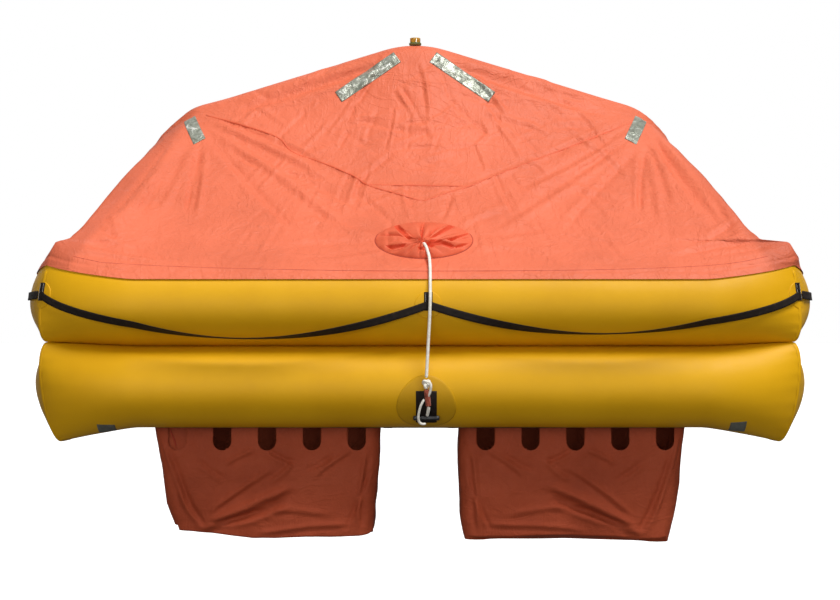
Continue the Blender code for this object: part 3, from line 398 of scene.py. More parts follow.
def make_materials():
    return {
        "tube_fabric": cloth_material(
            "tube_fabric", ((0.71, 0.360, 0.0035), (0.77, 0.400, 0.0045), (0.82, 0.435, 0.0065)), 0.44, 0.0011, 2.2,
            crinkle=(26.0, 0.08, 0.004), weave_bump=0.20, fleck=0.06, specular=0.20),
        "tow_fabric": cloth_material(
            "tow_fabric", ((0.54, 0.278, 0.004), (0.59, 0.308, 0.005), (0.64, 0.338, 0.007)), 0.50, 0.0011, 2.2,
            weave_bump=0.20, fleck=0.06, specular=0.20),
        "canopy_fabric": cloth_material(
            "canopy_fabric", ((0.71, 0.150, 0.070), (0.79, 0.170, 0.081), (0.85, 0.188, 0.094)), 0.55, 0.0008, 3.0,
            crinkle=(11.0, 0.55, 0.016), weave_bump=0.15, fleck=0.05, specular=0.30,
            creased=((4.0, (1.0, 1.0, 2.2), 5.0, 1.4, 16.0, 0.55, 0.004), (5.0, (2.4, 1.0, 1.0), 6.0, 1.0, 18.0, 0.5, 0.003),
                     (6.0, (1.0, 1.0, 1.0), 14.0, 0.8, 12.0, 0.35, 0.002)),
            # Painted shade on the end panels: their colour is made 20% darker.
            ends=0.80),
        "bright_binding": cloth_material(
            "bright_binding", ((0.50, 0.012, 0.010), (0.58, 0.018, 0.014), (0.66, 0.026, 0.018)), 0.5, 0.0008, 5.0,
            weave_bump=0.15, fleck=0.05, specular=0.3),
        # Painted shade: a darker, redder copy of the port cloth for the shaded valleys of its tucks.
        "port_fold_shade": cloth_material(
            "port_fold_shade", ((0.62, 0.060, 0.022), (0.68, 0.074, 0.028), (0.72, 0.088, 0.034)), 0.55, 0.0008, 5.0,
            crinkle=(30.0, 0.30, 0.006), weave_bump=0.15, fleck=0.05, specular=0.2),
        "port_fabric": cloth_material(
            "port_fabric", ((0.70, 0.115, 0.048), (0.76, 0.138, 0.062), (0.80, 0.158, 0.075)), 0.55, 0.0008, 5.0,
            crinkle=(30.0, 0.30, 0.006), weave_bump=0.15, fleck=0.05, specular=0.25),
        "seam_fabric": cloth_material(
            "seam_fabric", ((0.42, 0.045, 0.020), (0.50, 0.055, 0.025), (0.56, 0.070, 0.032)), 0.7, 0.0012, 8.0,
            crinkle=(40.0, 0.3, 0.003)),
        # Painted shade: the pockets' cloth is the canopy's orange at about half its brightness, for the shade they hang
        # in.
        "pocket_fabric": cloth_material(
            "pocket_fabric", ((0.36, 0.058, 0.020), (0.43, 0.072, 0.026), (0.49, 0.088, 0.034)), 0.66, 0.0009, 4.0,
            crinkle=(12.0, 0.5, 0.014), fleck=0.08, specular=0.2,
            creased=((4.0, (1.0, 1.0, 2.0), 6.0, 1.2, 14.0, 0.5, 0.003),)),
        "floor_fabric": cloth_material(
            "floor_fabric", ((0.018, 0.018, 0.020), (0.028, 0.028, 0.031), (0.040, 0.040, 0.044)), 0.6, 0.0010, 5.0,
            crinkle=(20.0, 0.3, 0.006)),
        "bag_fabric": cloth_material(
            "bag_fabric", ((0.70, 0.15, 0.035), (0.80, 0.19, 0.05), (0.86, 0.23, 0.07)), 0.6, 0.0012, 6.0,
            crinkle=(24.0, 0.4, 0.008)),
        "webbing": webbing_material(),
        "reflective_tape": tape_material(),
        "rope": rope_material("rope", (0.78, 0.72, 0.60), (0.95, 0.92, 0.83)),
        "rope_sleeve": rope_material("rope_sleeve", (0.26, 0.045, 0.020), (0.46, 0.095, 0.045)),
        "thread": rope_material("thread", (0.55, 0.55, 0.52), (0.80, 0.80, 0.76)),
        "lamp_lens": lens_material(),
        "black_plastic": plastic_material("black_plastic", (0.012, 0.012, 0.013), (0.030, 0.030, 0.031), 0.42),
        "lamp_rim": plastic_material("lamp_rim", (0.10, 0.10, 0.02), (0.20, 0.20, 0.05), 0.4),
        "grey_patch": plastic_material("grey_patch", (0.11, 0.11, 0.09), (0.17, 0.17, 0.14), 0.55),
        "gas_bottle": plastic_material("gas_bottle", (0.42, 0.43, 0.42), (0.55, 0.56, 0.55), 0.35, metallic=0.1),
        "brass": plastic_material("brass", (0.42, 0.28, 0.09), (0.60, 0.42, 0.16), 0.3, metallic=1.0),
    }


MATERIALS = make_materials()


# Meshes

def grid_mesh(name, points, material, wrap=(False, False), uv=None, drop=None, flip=False):
    """An object from a grid of points. wrap closes its rows or its columns, drop marks faces to leave out."""
    rows, cols = points.shape[:2]
    i, j = np.meshgrid(np.arange(rows - (not wrap[0])), np.arange(cols - (not wrap[1])), indexing="ij")
    i, j = i.ravel(), j.ravel()
    if drop is not None:
        keep = ~drop[i, j]
        i, j = i[keep], j[keep]
    i2, j2 = (i + 1) % rows, (j + 1) % cols
    quads = np.stack([i * cols + j, i2 * cols + j, i2 * cols + j2, i * cols + j2], axis=1)
    if flip:
        quads = quads[:, ::-1]
    flat = points.reshape(-1, 3)
    used, quads_used = np.unique(quads, return_inverse=True)
    mesh = bpy.data.meshes.new(name)
    mesh.from_pydata(flat[used].tolist(), [], quads_used.reshape(-1, 4).tolist())
    if uv is None:
        uv = lengths_of(points, wrap)
    corners = np.stack([uv[i, j], uv[i + 1, j], uv[i + 1, j + 1], uv[i, j + 1]], axis=1)
    if flip:
        corners = corners[:, ::-1]
    mesh.uv_layers.new(name="UVMap").data.foreach_set("uv", corners.astype(np.float32).ravel())
    return finish_mesh(name, mesh, material)


def lengths_of(points, wrap):
    """UVs in metres, measured along the middle row and column of a grid."""
    rows, cols = points.shape[:2]
    down = points[:, cols // 2]
    across = points[rows // 2]
    down = np.concatenate([down, down[:1]]) if wrap[0] else down
    across = np.concatenate([across, across[:1]]) if wrap[1] else across
    v = np.concatenate([[0], np.cumsum(np.linalg.norm(np.diff(down, axis=0), axis=1))])
    u = np.concatenate([[0], np.cumsum(np.linalg.norm(np.diff(across, axis=0), axis=1))])
    return np.stack(np.meshgrid(v, u, indexing="ij")[::-1], axis=-1)


def finish_mesh(name, mesh, material):
    mesh.materials.append(MATERIALS[material])
    mesh.shade_smooth()
    obj = bpy.data.objects.new(name, mesh)
    bpy.context.scene.collection.objects.link(obj)
    return obj


def loft(name, rings, material, caps=True, ring_closed=False, uv=None):
    """A closed tube through rings of points, with a fan over each end."""
    rings = np.array(rings, float)
    if caps and not ring_closed:
        first, last = rings[0].mean(0), rings[-1].mean(0)
        rings = np.concatenate([
            (first + (rings[:1] - first) * 0.02), rings, (last + (rings[-1:] - last) * 0.02)])
        if uv is not None:
            uv = np.concatenate([uv[:1], uv, uv[-1:]])
    obj = grid_mesh(name, rings, material, (ring_closed, True), uv)
    if caps and not ring_closed:
        work = bmesh.new()
        work.from_mesh(obj.data)
        work.verts.ensure_lookup_table()
        count = rings.shape[1]
        total = len(work.verts)
        work.faces.new([work.verts[k] for k in range(count)])
        work.faces.new([work.verts[total - 1 - k] for k in range(count)])
        bmesh.ops.recalc_face_normals(work, faces=work.faces)
        work.to_mesh(obj.data)
        work.free()
        obj.data.shade_smooth()
    return obj


def normals_of(points, wrap=(False, False)):
    """Unit normals of a grid of points."""
    def step(axis, around):
        if around:
            return np.roll(points, -1, axis) - np.roll(points, 1, axis)
        return np.gradient(points, axis=axis)
    normal = np.cross(step(0, wrap[0]), step(1, wrap[1]))
    return normal / np.maximum(np.linalg.norm(normal, axis=-1, keepdims=True), 1e-12)


def value_noise(points, scale, seed):
    """Smooth random values from -1 to 1 at points of any shape (..., 3)."""
    table = np.random.default_rng(seed).uniform(-1, 1, (32, 32, 32))
    p = points * scale
    cell = np.floor(p).astype(int)
    t = p - cell
    t = t * t * (3 - 2 * t)
    total = np.zeros(points.shape[:-1])
    for corner in range(8):
        offset = np.array([corner & 1, corner >> 1 & 1, corner >> 2 & 1])
        index = (cell + offset) % 32
        weight = np.prod(np.where(offset, t, 1 - t), axis=-1)
        total += weight * table[index[..., 0], index[..., 1], index[..., 2]]
    return total


def put(obj, slot, *nodes):
    """Rides the piece on the raft and hides the frame's nodes that it stands for. Its slot argument is not used."""
    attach(obj, "root")
    if nodes:
        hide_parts(*nodes)
    return obj


def smooth_run(points, per_span):
    """Catmull-Rom points through a route."""
    route = [Vector(p) for p in points]
    route = [route[0] * 2 - route[1]] + route + [route[-1] * 2 - route[-2]]
    out = []
    for a, b, c, d in zip(route, route[1:], route[2:], route[3:]):
        for n in range(per_span):
            t = n / per_span
            square = (2 * a - 5 * b + 4 * c - d) * t**2
            cube = (3 * b - a - 3 * c + d) * t**3
            out.append(0.5 * (2 * b + (c - a) * t + square + cube))
    return np.array([tuple(p) for p in out + [route[-2]]])


def spaced(line, step):
    """The same run with points an even step apart."""
    along = np.concatenate([[0], np.cumsum(np.linalg.norm(np.diff(line, axis=0), axis=1))])
    at = np.linspace(0, along[-1], max(2, int(round(along[-1] / step)) + 1))
    return np.stack([np.interp(at, along, line[:, k]) for k in range(3)], axis=1)


def frames_along(line):
    """Two unit directions across a run at each of its points, turned no more than they need."""
    run = np.gradient(line, axis=0)
    run /= np.linalg.norm(run, axis=1, keepdims=True)
    side = np.cross(run[0], (0.3, 0.1, 1.0))
    side /= np.linalg.norm(side)
    sides = []
    for direction in run:
        side = side - direction * side.dot(direction)
        side /= np.linalg.norm(side)
        sides.append(side)
    sides = np.array(sides)
    return sides, np.cross(run, sides)


# Rope

BRAID_STEP = 0.0016
BRAID_SIDES = 20
BRAID_STRANDS = 4
BRAID_LAY = 0.021


def braided(name, route, radius, material="rope", step=BRAID_STEP):
    """A braided rope along a route: two families of strands cross each other round it."""
    line = spaced(smooth_run(route, 8), step)
    a, b = frames_along(line)
    along = np.linspace(0, np.linalg.norm(np.diff(line, axis=0), axis=1).sum(), len(line))
    turn = np.linspace(0, 2 * pi, BRAID_SIDES, endpoint=False)
    twist = 2 * pi * along[:, None] / BRAID_LAY
    strands = np.cos(BRAID_STRANDS * turn + twist * 2) * np.cos(BRAID_STRANDS * turn - twist * 2)
    reach = radius * (0.95 + 0.07 * strands)
    ends = np.minimum(along, along[-1] - along)
    reach *= np.sqrt(np.clip(ends / radius, 0.12, 1.0))[:, None]
    rings = line[:, None] + reach[..., None] * (
        np.cos(turn)[None, :, None] * a[:, None] + np.sin(turn)[None, :, None] * b[:, None])
    obj = loft(name, rings, material)
    return obj, line


def knot_line():
    """An overhand knot's line: a flattened trefoil, with its ends drawn up and down."""
    t = np.linspace(0.0, 2 * pi, 90, endpoint=False) + 0.35
    x = np.sin(t) + 2 * np.sin(2 * t)
    z = np.cos(t) - 2 * np.cos(2 * t)
    y = -np.sin(3 * t)
    return np.stack([x * 0.0040, y * 0.0062, z * 0.0050], axis=1) + np.array(KNOT)


def make_rope():
    rope, line = braided("rope_line", ROPE_ROUTE, ROPE_R)
    put(rope, "rope", "rope")
    end, _ = braided("rope_lower_end", END_ROUTE, ROPE_R)
    put(end, "rope", "rope_end")
    tail, tail_line = braided("rope_loose_tail", TAIL_ROUTE, ROPE_R * TAIL_SHARE)
    put(tail, "rope", "rope_tail")
    ring = knot_line()
    a, b = frames_along(np.concatenate([ring, ring[:1]]))
    turn = np.linspace(0, 2 * pi, 12, endpoint=False)
    rings = ring[:, None] + 0.0052 * (np.cos(turn)[None, :, None] * a[:-1, None] + np.sin(turn)[None, :, None] * b[:-1, None])
    knot = grid_mesh("rope_tied_knot", rings, "rope", (True, True))
    put(knot, "rope", "rope_knot")
    strand, _ = braided("rope_knot_strand", STRAND_ROUTE, ROPE_R * TAIL_SHARE)
    put(strand, "rope")
    sleeve = make_sleeve()


def make_sleeve():
    """The woven sleeve that gathers the rope's two parts below the knot."""
    top, low = np.array(KNOT) - (0, 0, 0.0226), np.array((0.031, -1.010, 0.066))
    line = spaced(np.array([top, low]), 0.002)
    a, b = frames_along(line)
    turn = np.linspace(0, 2 * pi, 24, endpoint=False)
    share = np.linspace(0, 1, len(line))[:, None]
    reach = 0.0088 + 0.0010 * np.sin(pi * share) + 0.0006 * np.cos(5 * turn + 9 * share) + 0.0005 * np.sin(60 * share)
    rings = line[:, None] + reach[..., None] * (
        np.cos(turn)[None, :, None] * a[:, None] + np.sin(turn)[None, :, None] * b[:, None])
    return put(loft("rope_woven_sleeve", rings, "rope_sleeve"), "rope_sleeve", "rope_sleeve")


make_rope()


# Tubes

def soft_near(distance):
    """Nearness to a mitre, from 0 to 1, with a gentle start."""
    near = np.clip(1 - distance / MITRE_REACH, 0, 1)
    return (np.sqrt(near**2 + MITRE_SOFT**2) - MITRE_SOFT) / (sqrt(1 + MITRE_SOFT**2) - MITRE_SOFT)


def ring_stations(tube, corner_step, middle_step, end_step=None):
    """Stations round a tube from the middle of the left side, by the front, right and rear sides."""
    _, spread, *_ = TUBES[tube]
    x, y = HALF_LENGTH + spread, HALF_WIDTH
    sides = (
        ((-x, 0, 0), (-1, 0, 0), (0, -1, 0), y),
        ((0, -y, 0), (0, -1, 0), (1, 0, 0), MITRE_X),
        ((x, 0, 0), (1, 0, 0), (0, 1, 0), y),
        ((0, y, 0), (0, 1, 0), (-1, 0, 0), MITRE_X),
    )
    found = []
    for middle, out, along, half in sides:
        corner = np.arange(0.0, MITRE_REACH, corner_step)
        step = end_step if end_step and out[0] else middle_step
        inner = np.linspace(0, half - MITRE_REACH, max(2, round((half - MITRE_REACH) / step)) + 1)
        right = np.concatenate([inner, half - corner[::-1]])
        right = np.unique(np.round(right, 6))
        every = np.concatenate([-right[:0:-1], right])[1:]
        found.append((np.array(middle), np.array(out), np.array(along), half, every))
    listed = [(m, o, al, h, a) for m, o, al, h, line in found for a in line]
    start = int(np.searchsorted(found[0][4], 0.0))
    return listed[start:] + listed[:start]


def tube_section(tube, near, angle, radius):
    _, _, up_rise, down_rise, lean = TUBES[tube]
    c, s = np.cos(angle), np.sin(angle)
    reach = np.where(c > 0, lerp(radius, MITRE_OUT, near**MITRE_FALL), lerp(radius, MITRE_IN, near**MITRE_FALL))
    rise = radius + np.where(s > 0, up_rise, down_rise) * near
    return reach * c + lean * MITRE_LEAN * near**2 * s, rise * s


def tube_points(tube, station, angle, radius=SMOOTH_R):
    """Points of a tube's skin round one station."""
    middle, out, along, half, a = station
    near = float(soft_near(half - abs(a)))
    shift = (MITRE_X - abs(middle[0])) * near**2 if out[0] else 0.0
    sign = np.sign(a) if a else 1.0
    v, h = tube_section(tube, near, angle, radius)
    base = middle + along * a + out * shift
    points = base + out * v[:, None] + along * (sign * near * v)[:, None]
    points[:, 2] += TUBES[tube][0] + h
    return points


def make_tube(tube, node):
    """A tube with puckers that run out of its mitred seams and a slight unevenness of its skin."""
    around = ring_stations(tube, 0.010, 0.045)
    angle = np.linspace(0, 2 * pi, 88, endpoint=False) + 0.01
    points = np.array([tube_points(tube, st, angle) for st in around])
    normal = normals_of(points, (True, True))
    middle = points.mean(1, keepdims=True)
    normal *= np.sign((normal * (points - middle)).sum(-1, keepdims=True))
    distance = np.array([half - abs(a) for _, _, _, half, a in around])[:, None]
    seam = np.exp(-(distance / 0.006) ** 2)
    pucker = np.exp(-distance / 0.055) * (0.6 + 0.4 * value_noise(points, 9.0, 5))
    ripple = np.sin(angle * 21 + 2.4 * value_noise(points, 4.0, 7))
    offset = -0.0022 * seam + 0.0016 * pucker * ripple - 0.0012 * pucker
    offset += 0.0007 * value_noise(points, 7.0, 3)
    uv = lengths_of(points, (True, True))
    obj = grid_mesh(node + "_skin", points + normal * np.minimum(offset, 0.0006)[..., None], "tube_fabric", (True, True), uv)
    fix_normals(obj)
    return put(obj, "tube_fabric", node)


def fix_normals(obj):
    work = bmesh.new()
    work.from_mesh(obj.data)
    bmesh.ops.recalc_face_normals(work, faces=work.faces)
    work.to_mesh(obj.data)
    work.free()
    obj.data.shade_smooth()


def surface(*objs):
    """One search tree over several objects, to lay other pieces on them."""
    points, faces = [], []
    for obj in objs:
        start = len(points)
        points += [v.co for v in obj.data.vertices]
        faces += [[start + k for k in p.vertices] for p in obj.data.polygons]
    return BVHTree.FromPolygons(points, faces)


LOWER_SKIN = make_tube("lower", "lower_tube")
UPPER_SKIN = make_tube("upper", "upper_tube")
TUBE_SURFACE = surface(LOWER_SKIN, UPPER_SKIN)


# Cross arch

def arch_line():
    """The middle of the arch's tube in the XZ plane, with its corners turned into arcs."""
    foot = (ARCH_FOOT_X, UPPER_Z + FLAT)
    points = [(-foot[0], foot[1]), (-ARCH_BEND[0] + ARCH_SHIFT, ARCH_BEND[1]), (ARCH_SHIFT, ARCH_PEAK_Z),
              (ARCH_BEND[0] + ARCH_SHIFT, ARCH_BEND[1]), foot]
    points = [Vector(p) for p in points]
    out = [points[0]]
    for i, radius in ((1, BEND_RADIUS), (2, PEAK_RADIUS), (3, BEND_RADIUS)):
        back = (points[i - 1] - points[i]).normalized()
        on = (points[i + 1] - points[i]).normalized()
        half = acos(back.dot(on)) / 2
        centre = points[i] + (back + on).normalized() * radius / sin(half)
        arm = points[i] + back * radius * cos(half) / sin(half) - centre
        turn = pi - 2 * half
        spin = 1 if back.cross(on) > 0 else -1
        for n in range(17):
            a = -spin * turn * n / 16
            out.append(centre + Vector((arm.x * cos(a) - arm.y * sin(a), arm.x * sin(a) + arm.y * cos(a))))
    out.append(points[-1])
    line = np.array([(p.x, 0.0, p.y) for p in out])
    return spaced(line, 0.02)


ARCH = arch_line()
ARCH_RUN = np.gradient(ARCH, axis=0)
ARCH_RUN /= np.linalg.norm(ARCH_RUN, axis=1, keepdims=True)
ARCH_UP = np.stack([-ARCH_RUN[:, 2], ARCH_RUN[:, 1], ARCH_RUN[:, 0]], axis=1)


def arch_at(x):
    """Middle and outward normal of the arch tube where it passes over x."""
    middle = np.array([np.interp(x, ARCH[:, 0], ARCH[:, k]) for k in range(3)])
    up = np.array([np.interp(x, ARCH[:, 0], ARCH_UP[:, k]) for k in range(3)])
    return middle, up / np.linalg.norm(up)


def make_arch():
    turn = np.linspace(0, 2 * pi, 36, endpoint=False)
    across = np.array((0.0, 1.0, 0.0))
    radius = ARCH_R - 0.0006
    rings = ARCH[:, None] + radius * (
        np.cos(turn)[None, :, None] * ARCH_UP[:, None] + np.sin(turn)[None, :, None] * across)
    rings += 0.0006 * value_noise(rings, 9.0, 11)[..., None] * ARCH_UP[:, None]
    seat = UPPER_Z + FLAT + 0.0006
    rings[..., 2] = np.maximum(rings[..., 2], seat)
    arch = loft("arch_skin", rings, "tube_fabric")
    put(arch, "tube_fabric", "arch_tube")


make_arch()


# Canopy

def canopy_ruling(station):
    """The canopy from its hem on the upper tube to the ridge over the arch, at a tube station."""
    middle, out, along, half, a = station
    near = float(soft_near(half - abs(a)))
    leave = lerp(LEAVE_ANGLE, LEAVE_ANGLE_MITRE, near)
    angles = np.concatenate([[HEM_ANGLE], np.linspace(HEM_ANGLE, leave, 8)[1:]])
    lifts = CLOTH_LIFT + lerp(0.004, 0.006, near) * np.linspace(0.0, 1.0, len(angles))
    run = [tube_points("upper", station, np.array([angle]), SMOOTH_R + lift)[0] for angle, lift in zip(angles, lifts)]
    base = middle + along * a
    front = out[1] < 0 or half - abs(a) < 1e-6
    if front:
        share = abs(base[0]) / MITRE_X
        x = base[0] / MITRE_X * ARCH_BEND[0] + ARCH_SHIFT
        wrap = lerp(RIDGE_WRAP, HIP_WRAP, share**2)
        hang = lerp(1.0, PULLED_FLAT, share**2)
    else:
        share = abs(base[1]) / HALF_WIDTH
        side = 1 if base[0] > 0 else -1
        x = lerp(side * ARCH_FOOT_X, side * ARCH_BEND[0] + ARCH_SHIFT, share)
        wrap = HIP_WRAP * share**0.6
        hang = PULLED_FLAT
    centre, up = arch_at(x)
    back = np.array((0.0, -1.0, 0.0))
    end = centre + (up * cos(wrap) + back * sin(wrap)) * RIDGE_R
    start = run[-1]
    length = np.linalg.norm(end - start)
    chord = (end - start) / length
    leaving = blend_direction(chord, run[-1] - run[-2], hang)
    arriving = blend_direction(chord, up * sin(wrap) - back * cos(wrap), hang)
    b, c = start + leaving * length * SLACK, end - arriving * length * SLACK
    for t in np.linspace(0, 1, 25)[1:]:
        s = 1 - t
        run.append(start * s**3 + b * 3 * s * s * t + c * 3 * s * t * t + end * t**3)
    for t in np.linspace(0, 1, 9)[1:]:
        angle = wrap * (1 - t)
        run.append(centre + (up * cos(angle) + back * sin(angle)) * RIDGE_R)
    return np.array(run)


def unit(v):
    return v / np.linalg.norm(v)


def blend_direction(chord, other, share):
    made = lerp(chord, other / max(np.linalg.norm(other), 1e-9), share)
    return made / np.linalg.norm(made)


def canopy_rows(run):
    """A ruling's points again: even small steps over the hem, then even steps to the ridge."""
    along = np.concatenate([[0], np.cumsum(np.linalg.norm(np.diff(run, axis=0), axis=1))])
    hem = min(HEM_ROWS * HEM_ROW, along[-1] * 0.4)
    wanted = np.concatenate([np.linspace(0, hem, HEM_ROWS + 1)[:-1], np.linspace(hem, along[-1], CANOPY_ROWS - HEM_ROWS)])
    return np.stack([np.interp(wanted, along, run[:, k]) for k in range(3)], axis=1)


# Folds of the front slope: ends in the picture, half width in pixels, height in millimetres
FOLDS = (
    # The band that the arch's tube prints below the ridge
    (228, 113, 392, 60, 3.6, -9.0),
    (236, 104, 372, 62, 3.4, 3.5),
    (446, 62, 612, 117, 3.6, -9.0),
    (470, 62, 606, 106, 3.4, 3.5),
    # The edges where the long side turns into the ends
    (184, 136, 100, 238, 6.5, 10.0),
    (656, 132, 748, 240, 6.5, 8.0),
    # Fans from the bends of the arch
    (206, 118, 330, 178, 3.4, 6.5),
    (212, 116, 318, 160, 2.8, -5.5),
    (206, 124, 352, 232, 4.0, 6.0),
    (204, 130, 300, 236, 3.6, -5.0),
    (212, 128, 372, 214, 3.4, -4.5),
    (200, 146, 186, 214, 2.6, -8.0),
    (206, 146, 196, 218, 3.0, 6.0),
    (190, 150, 160, 212, 3.0, 5.0),
    (180, 150, 140, 214, 2.8, -6.0),
    (172, 150, 116, 222, 3.2, 5.0),
    (636, 130, 520, 196, 3.4, 6.0),
    (630, 124, 540, 160, 2.8, -5.5),
    (636, 140, 500, 232, 4.0, 5.5),
    (640, 148, 560, 236, 3.6, -4.5),
    (644, 146, 640, 214, 2.6, -7.5),
    (650, 140, 676, 206, 3.0, 6.0),
    (652, 136, 706, 214, 2.8, -7.0),
    (656, 134, 724, 222, 3.2, 5.0),
    (660, 132, 736, 230, 2.6, -5.0),
    (648, 150, 660, 226, 2.6, 4.5),
    # The long seams of the two panels
    (206, 115, 277, 137, 1.9, 4.5),
    (277, 137, 326, 164, 1.9, 4.5),
    (326, 164, 372, 186, 1.9, 4.5),
    (372, 186, 422, 201, 1.9, 4.5),
    (634, 122, 562, 150, 1.9, 4.5),
    (562, 150, 514, 168, 1.9, 4.5),
    (514, 168, 467, 187, 1.9, 4.5),
    (467, 187, 422, 201, 1.9, 4.5),
    (368, 186, 472, 187, 1.8, 3.5),
    # Pulls of the gathered port
    (380, 236, 296, 214, 3.0, 4.0),
    (376, 243, 286, 246, 2.8, -4.0),
    (384, 252, 300, 262, 2.8, 3.5),
    (394, 226, 352, 190, 2.8, -3.5),
    (412, 222, 402, 186, 2.6, 3.5),
    (440, 222, 452, 192, 2.6, -3.5),
    (458, 226, 512, 204, 3.0, 4.0),
    (472, 236, 560, 226, 3.0, -4.0),
    (474, 246, 566, 252, 2.8, 3.5),
    # Wrinkles along the ends of the hem
    (70, 250, 150, 262, 2.2, 4.0),
    (78, 243, 178, 260, 2.4, -4.5),
    (90, 238, 150, 248, 2.4, 4.0),
    (96, 226, 132, 244, 2.6, -5.0),
    (110, 214, 118, 240, 2.6, 5.0),
    (150, 262, 300, 267, 2.2, -3.0),
    (768, 250, 690, 262, 2.2, 4.0),
    (756, 241, 668, 258, 2.4, -4.5),
    (744, 234, 690, 246, 2.4, 4.0),
    (738, 222, 706, 242, 2.6, -5.0),
    (560, 262, 680, 266, 2.2, -3.0),
    # Single long wrinkles of the upper panel
    (400, 84, 430, 132, 2.4, -5.0),
    (394, 88, 436, 140, 2.4, 3.5),
    (352, 118, 420, 134, 2.2, -3.5),
    (420, 60, 430, 112, 2.6, 3.0),
    (446, 96, 494, 140, 2.4, -4.0),
    (330, 120, 300, 150, 2.2, 3.0),
    (480, 112, 540, 128, 2.2, 3.0),
)
PANEL_TOP = (418.0, 66.0)
PANEL_LOW = ((240.0, 118.0), (420.0, 196.0), (600.0, 118.0))
SMALL_FOLDS = 150
FOLD_GAIN = 1.35


def fold_height(px, py, x0, y0, x1, y1, wide, tall):
    """Height of one fold over picture points: a ridge with a shallower valley beside it."""
    run = np.array((x1 - x0, y1 - y0), float)
    length = np.linalg.norm(run)
    run /= length
    s = ((px - x0) * run[0] + (py - y0) * run[1]) / length
    t = (px - x0) * -run[1] + (py - y0) * run[0]
    bow = t + 0.6 * wide * np.sin(pi * np.clip(s, 0, 1)) * np.sign(tall)
    taper = np.clip(np.minimum(s, 1 - s) * 4.0 + 0.15, 0, 1)
    taper = taper * taper * (3 - 2 * taper)
    return tall / 1000 * taper * (np.exp(-(bow / wide) ** 2) - 0.55 * np.exp(-((bow - 1.7 * wide) / wide) ** 2))


def small_folds(seed):
    """Short wrinkles spread over the upper panel, most of them fanning out from under the light."""
    rng = np.random.default_rng(seed)
    made = []
    for _ in range(SMALL_FOLDS):
        x, y = rng.uniform(235, 610), rng.uniform(74, 262)
        fan = np.arctan2(y - PANEL_TOP[1] + 60, x - PANEL_TOP[0])
        lean = fan if rng.random() < 0.45 else rng.choice([0.1, 0.5, 2.6, 3.0]) + rng.normal(0, 0.25)
        reach = rng.uniform(9, 34)
        dx, dy = reach * np.cos(lean), reach * np.sin(lean)
        calm = 0.5 if y > 200 else 1.0
        made.append((x - dx, y - dy, x + dx, y + dy, rng.uniform(1.8, 2.8), calm * rng.choice([-1, 1]) * rng.uniform(1.2, 3.6)))
    return made


def canopy_offset(points, side):
    """How far the cloth stands off its smooth surface, by its folds."""
    px, py = picture(points * np.array((1.0, 1.0 if side < 0 else -1.0, 1.0)))
    if side > 0:
        px = 2 * PICTURE_MIDDLE[0] - px
    total = np.zeros(points.shape[:-1])
    for *line, tall in (*FOLDS, *small_folds(21 if side < 0 else 22)):
        total += fold_height(px, py, *line, FOLD_GAIN * tall)
    total += 0.0030 * value_noise(points, 3.2, 31) + 0.0016 * value_noise(points, 8.5, 32)
    total += 0.0008 * value_noise(points, 22.0, 33)
    return total


def end_offset(points):
    """Folds of the short ends, which run from the arch's bends down to the tube."""
    a = np.arctan2(points[..., 1], points[..., 2] - 1.25)
    lines = np.sin(a * 34 + 1.6 * value_noise(points, 2.5, 41)) * np.clip(0.6 + value_noise(points, 3.0, 42), 0, 1)
    return 0.0035 * lines


# The canopy's outline in the picture: row, left edge, right edge
CANOPY_OUTLINE = (
    (105.0, 203.0, 623.6), (118.0, 183.0, 645.0), (135.0, 164.4, 661.4), (150.4, 149.6, 675.6), (165.0, 135.2, 689.2),
    (180.0, 121.4, 703.4), (195.0, 108.6, 717.0), (210.0, 96.4, 730.2), (225.0, 84.0, 743.8), (230.0, 79.0, 749.2),
    (235.0, 73.0, 756.5), (238.5, 69.6, 760.0),
)
EAR_ROWS = (238.6, 242.0)
EAR_PULL = 0.018


def outline_scale(rulings):
    """How much wider than the plain surface the canopy is at each row of the outline, left and right."""
    px, py = picture(rulings)
    scales = []
    for column, sign in ((1, -1), (2, 1)):
        line = []
        for edge in CANOPY_OUTLINE:
            reach = [np.interp(-edge[0], -row_y, sign * (row_x - PICTURE_MIDDLE[0]), left=0, right=0)
                     for row_x, row_y in zip(px, py)]
            line.append(abs(edge[column] - PICTURE_MIDDLE[0]) / max(reach))
        scales.append(line)
    return scales


def to_outline(rulings, scales):
    """Rulings drawn in or out sideways until the cloth has the outline that the picture shows."""
    px, py = picture(rulings)
    rows = [edge[0] for edge in CANOPY_OUTLINE]
    left, right = (np.interp(py, rows, line) for line in scales)
    scale = np.where(rulings[..., 0] < 0, left, right)
    scale = lerp(scale, 1.0, smooth_step((py - EAR_ROWS[0]) / (EAR_ROWS[1] - EAR_ROWS[0])))
    scale = lerp(1.0, scale, smooth_step((py - 96) / 14))
    scale = lerp(1.0, scale, smooth_step(np.abs(px - PICTURE_MIDDLE[0]) / 190))
    beside_arch = smooth_step((np.abs(rulings[..., 1]) - 0.24) / 0.34)
    scale = np.where(scale < 1, lerp(1.0, scale, beside_arch), scale)
    moved = rulings.copy()
    moved[..., 0] *= scale
    return moved


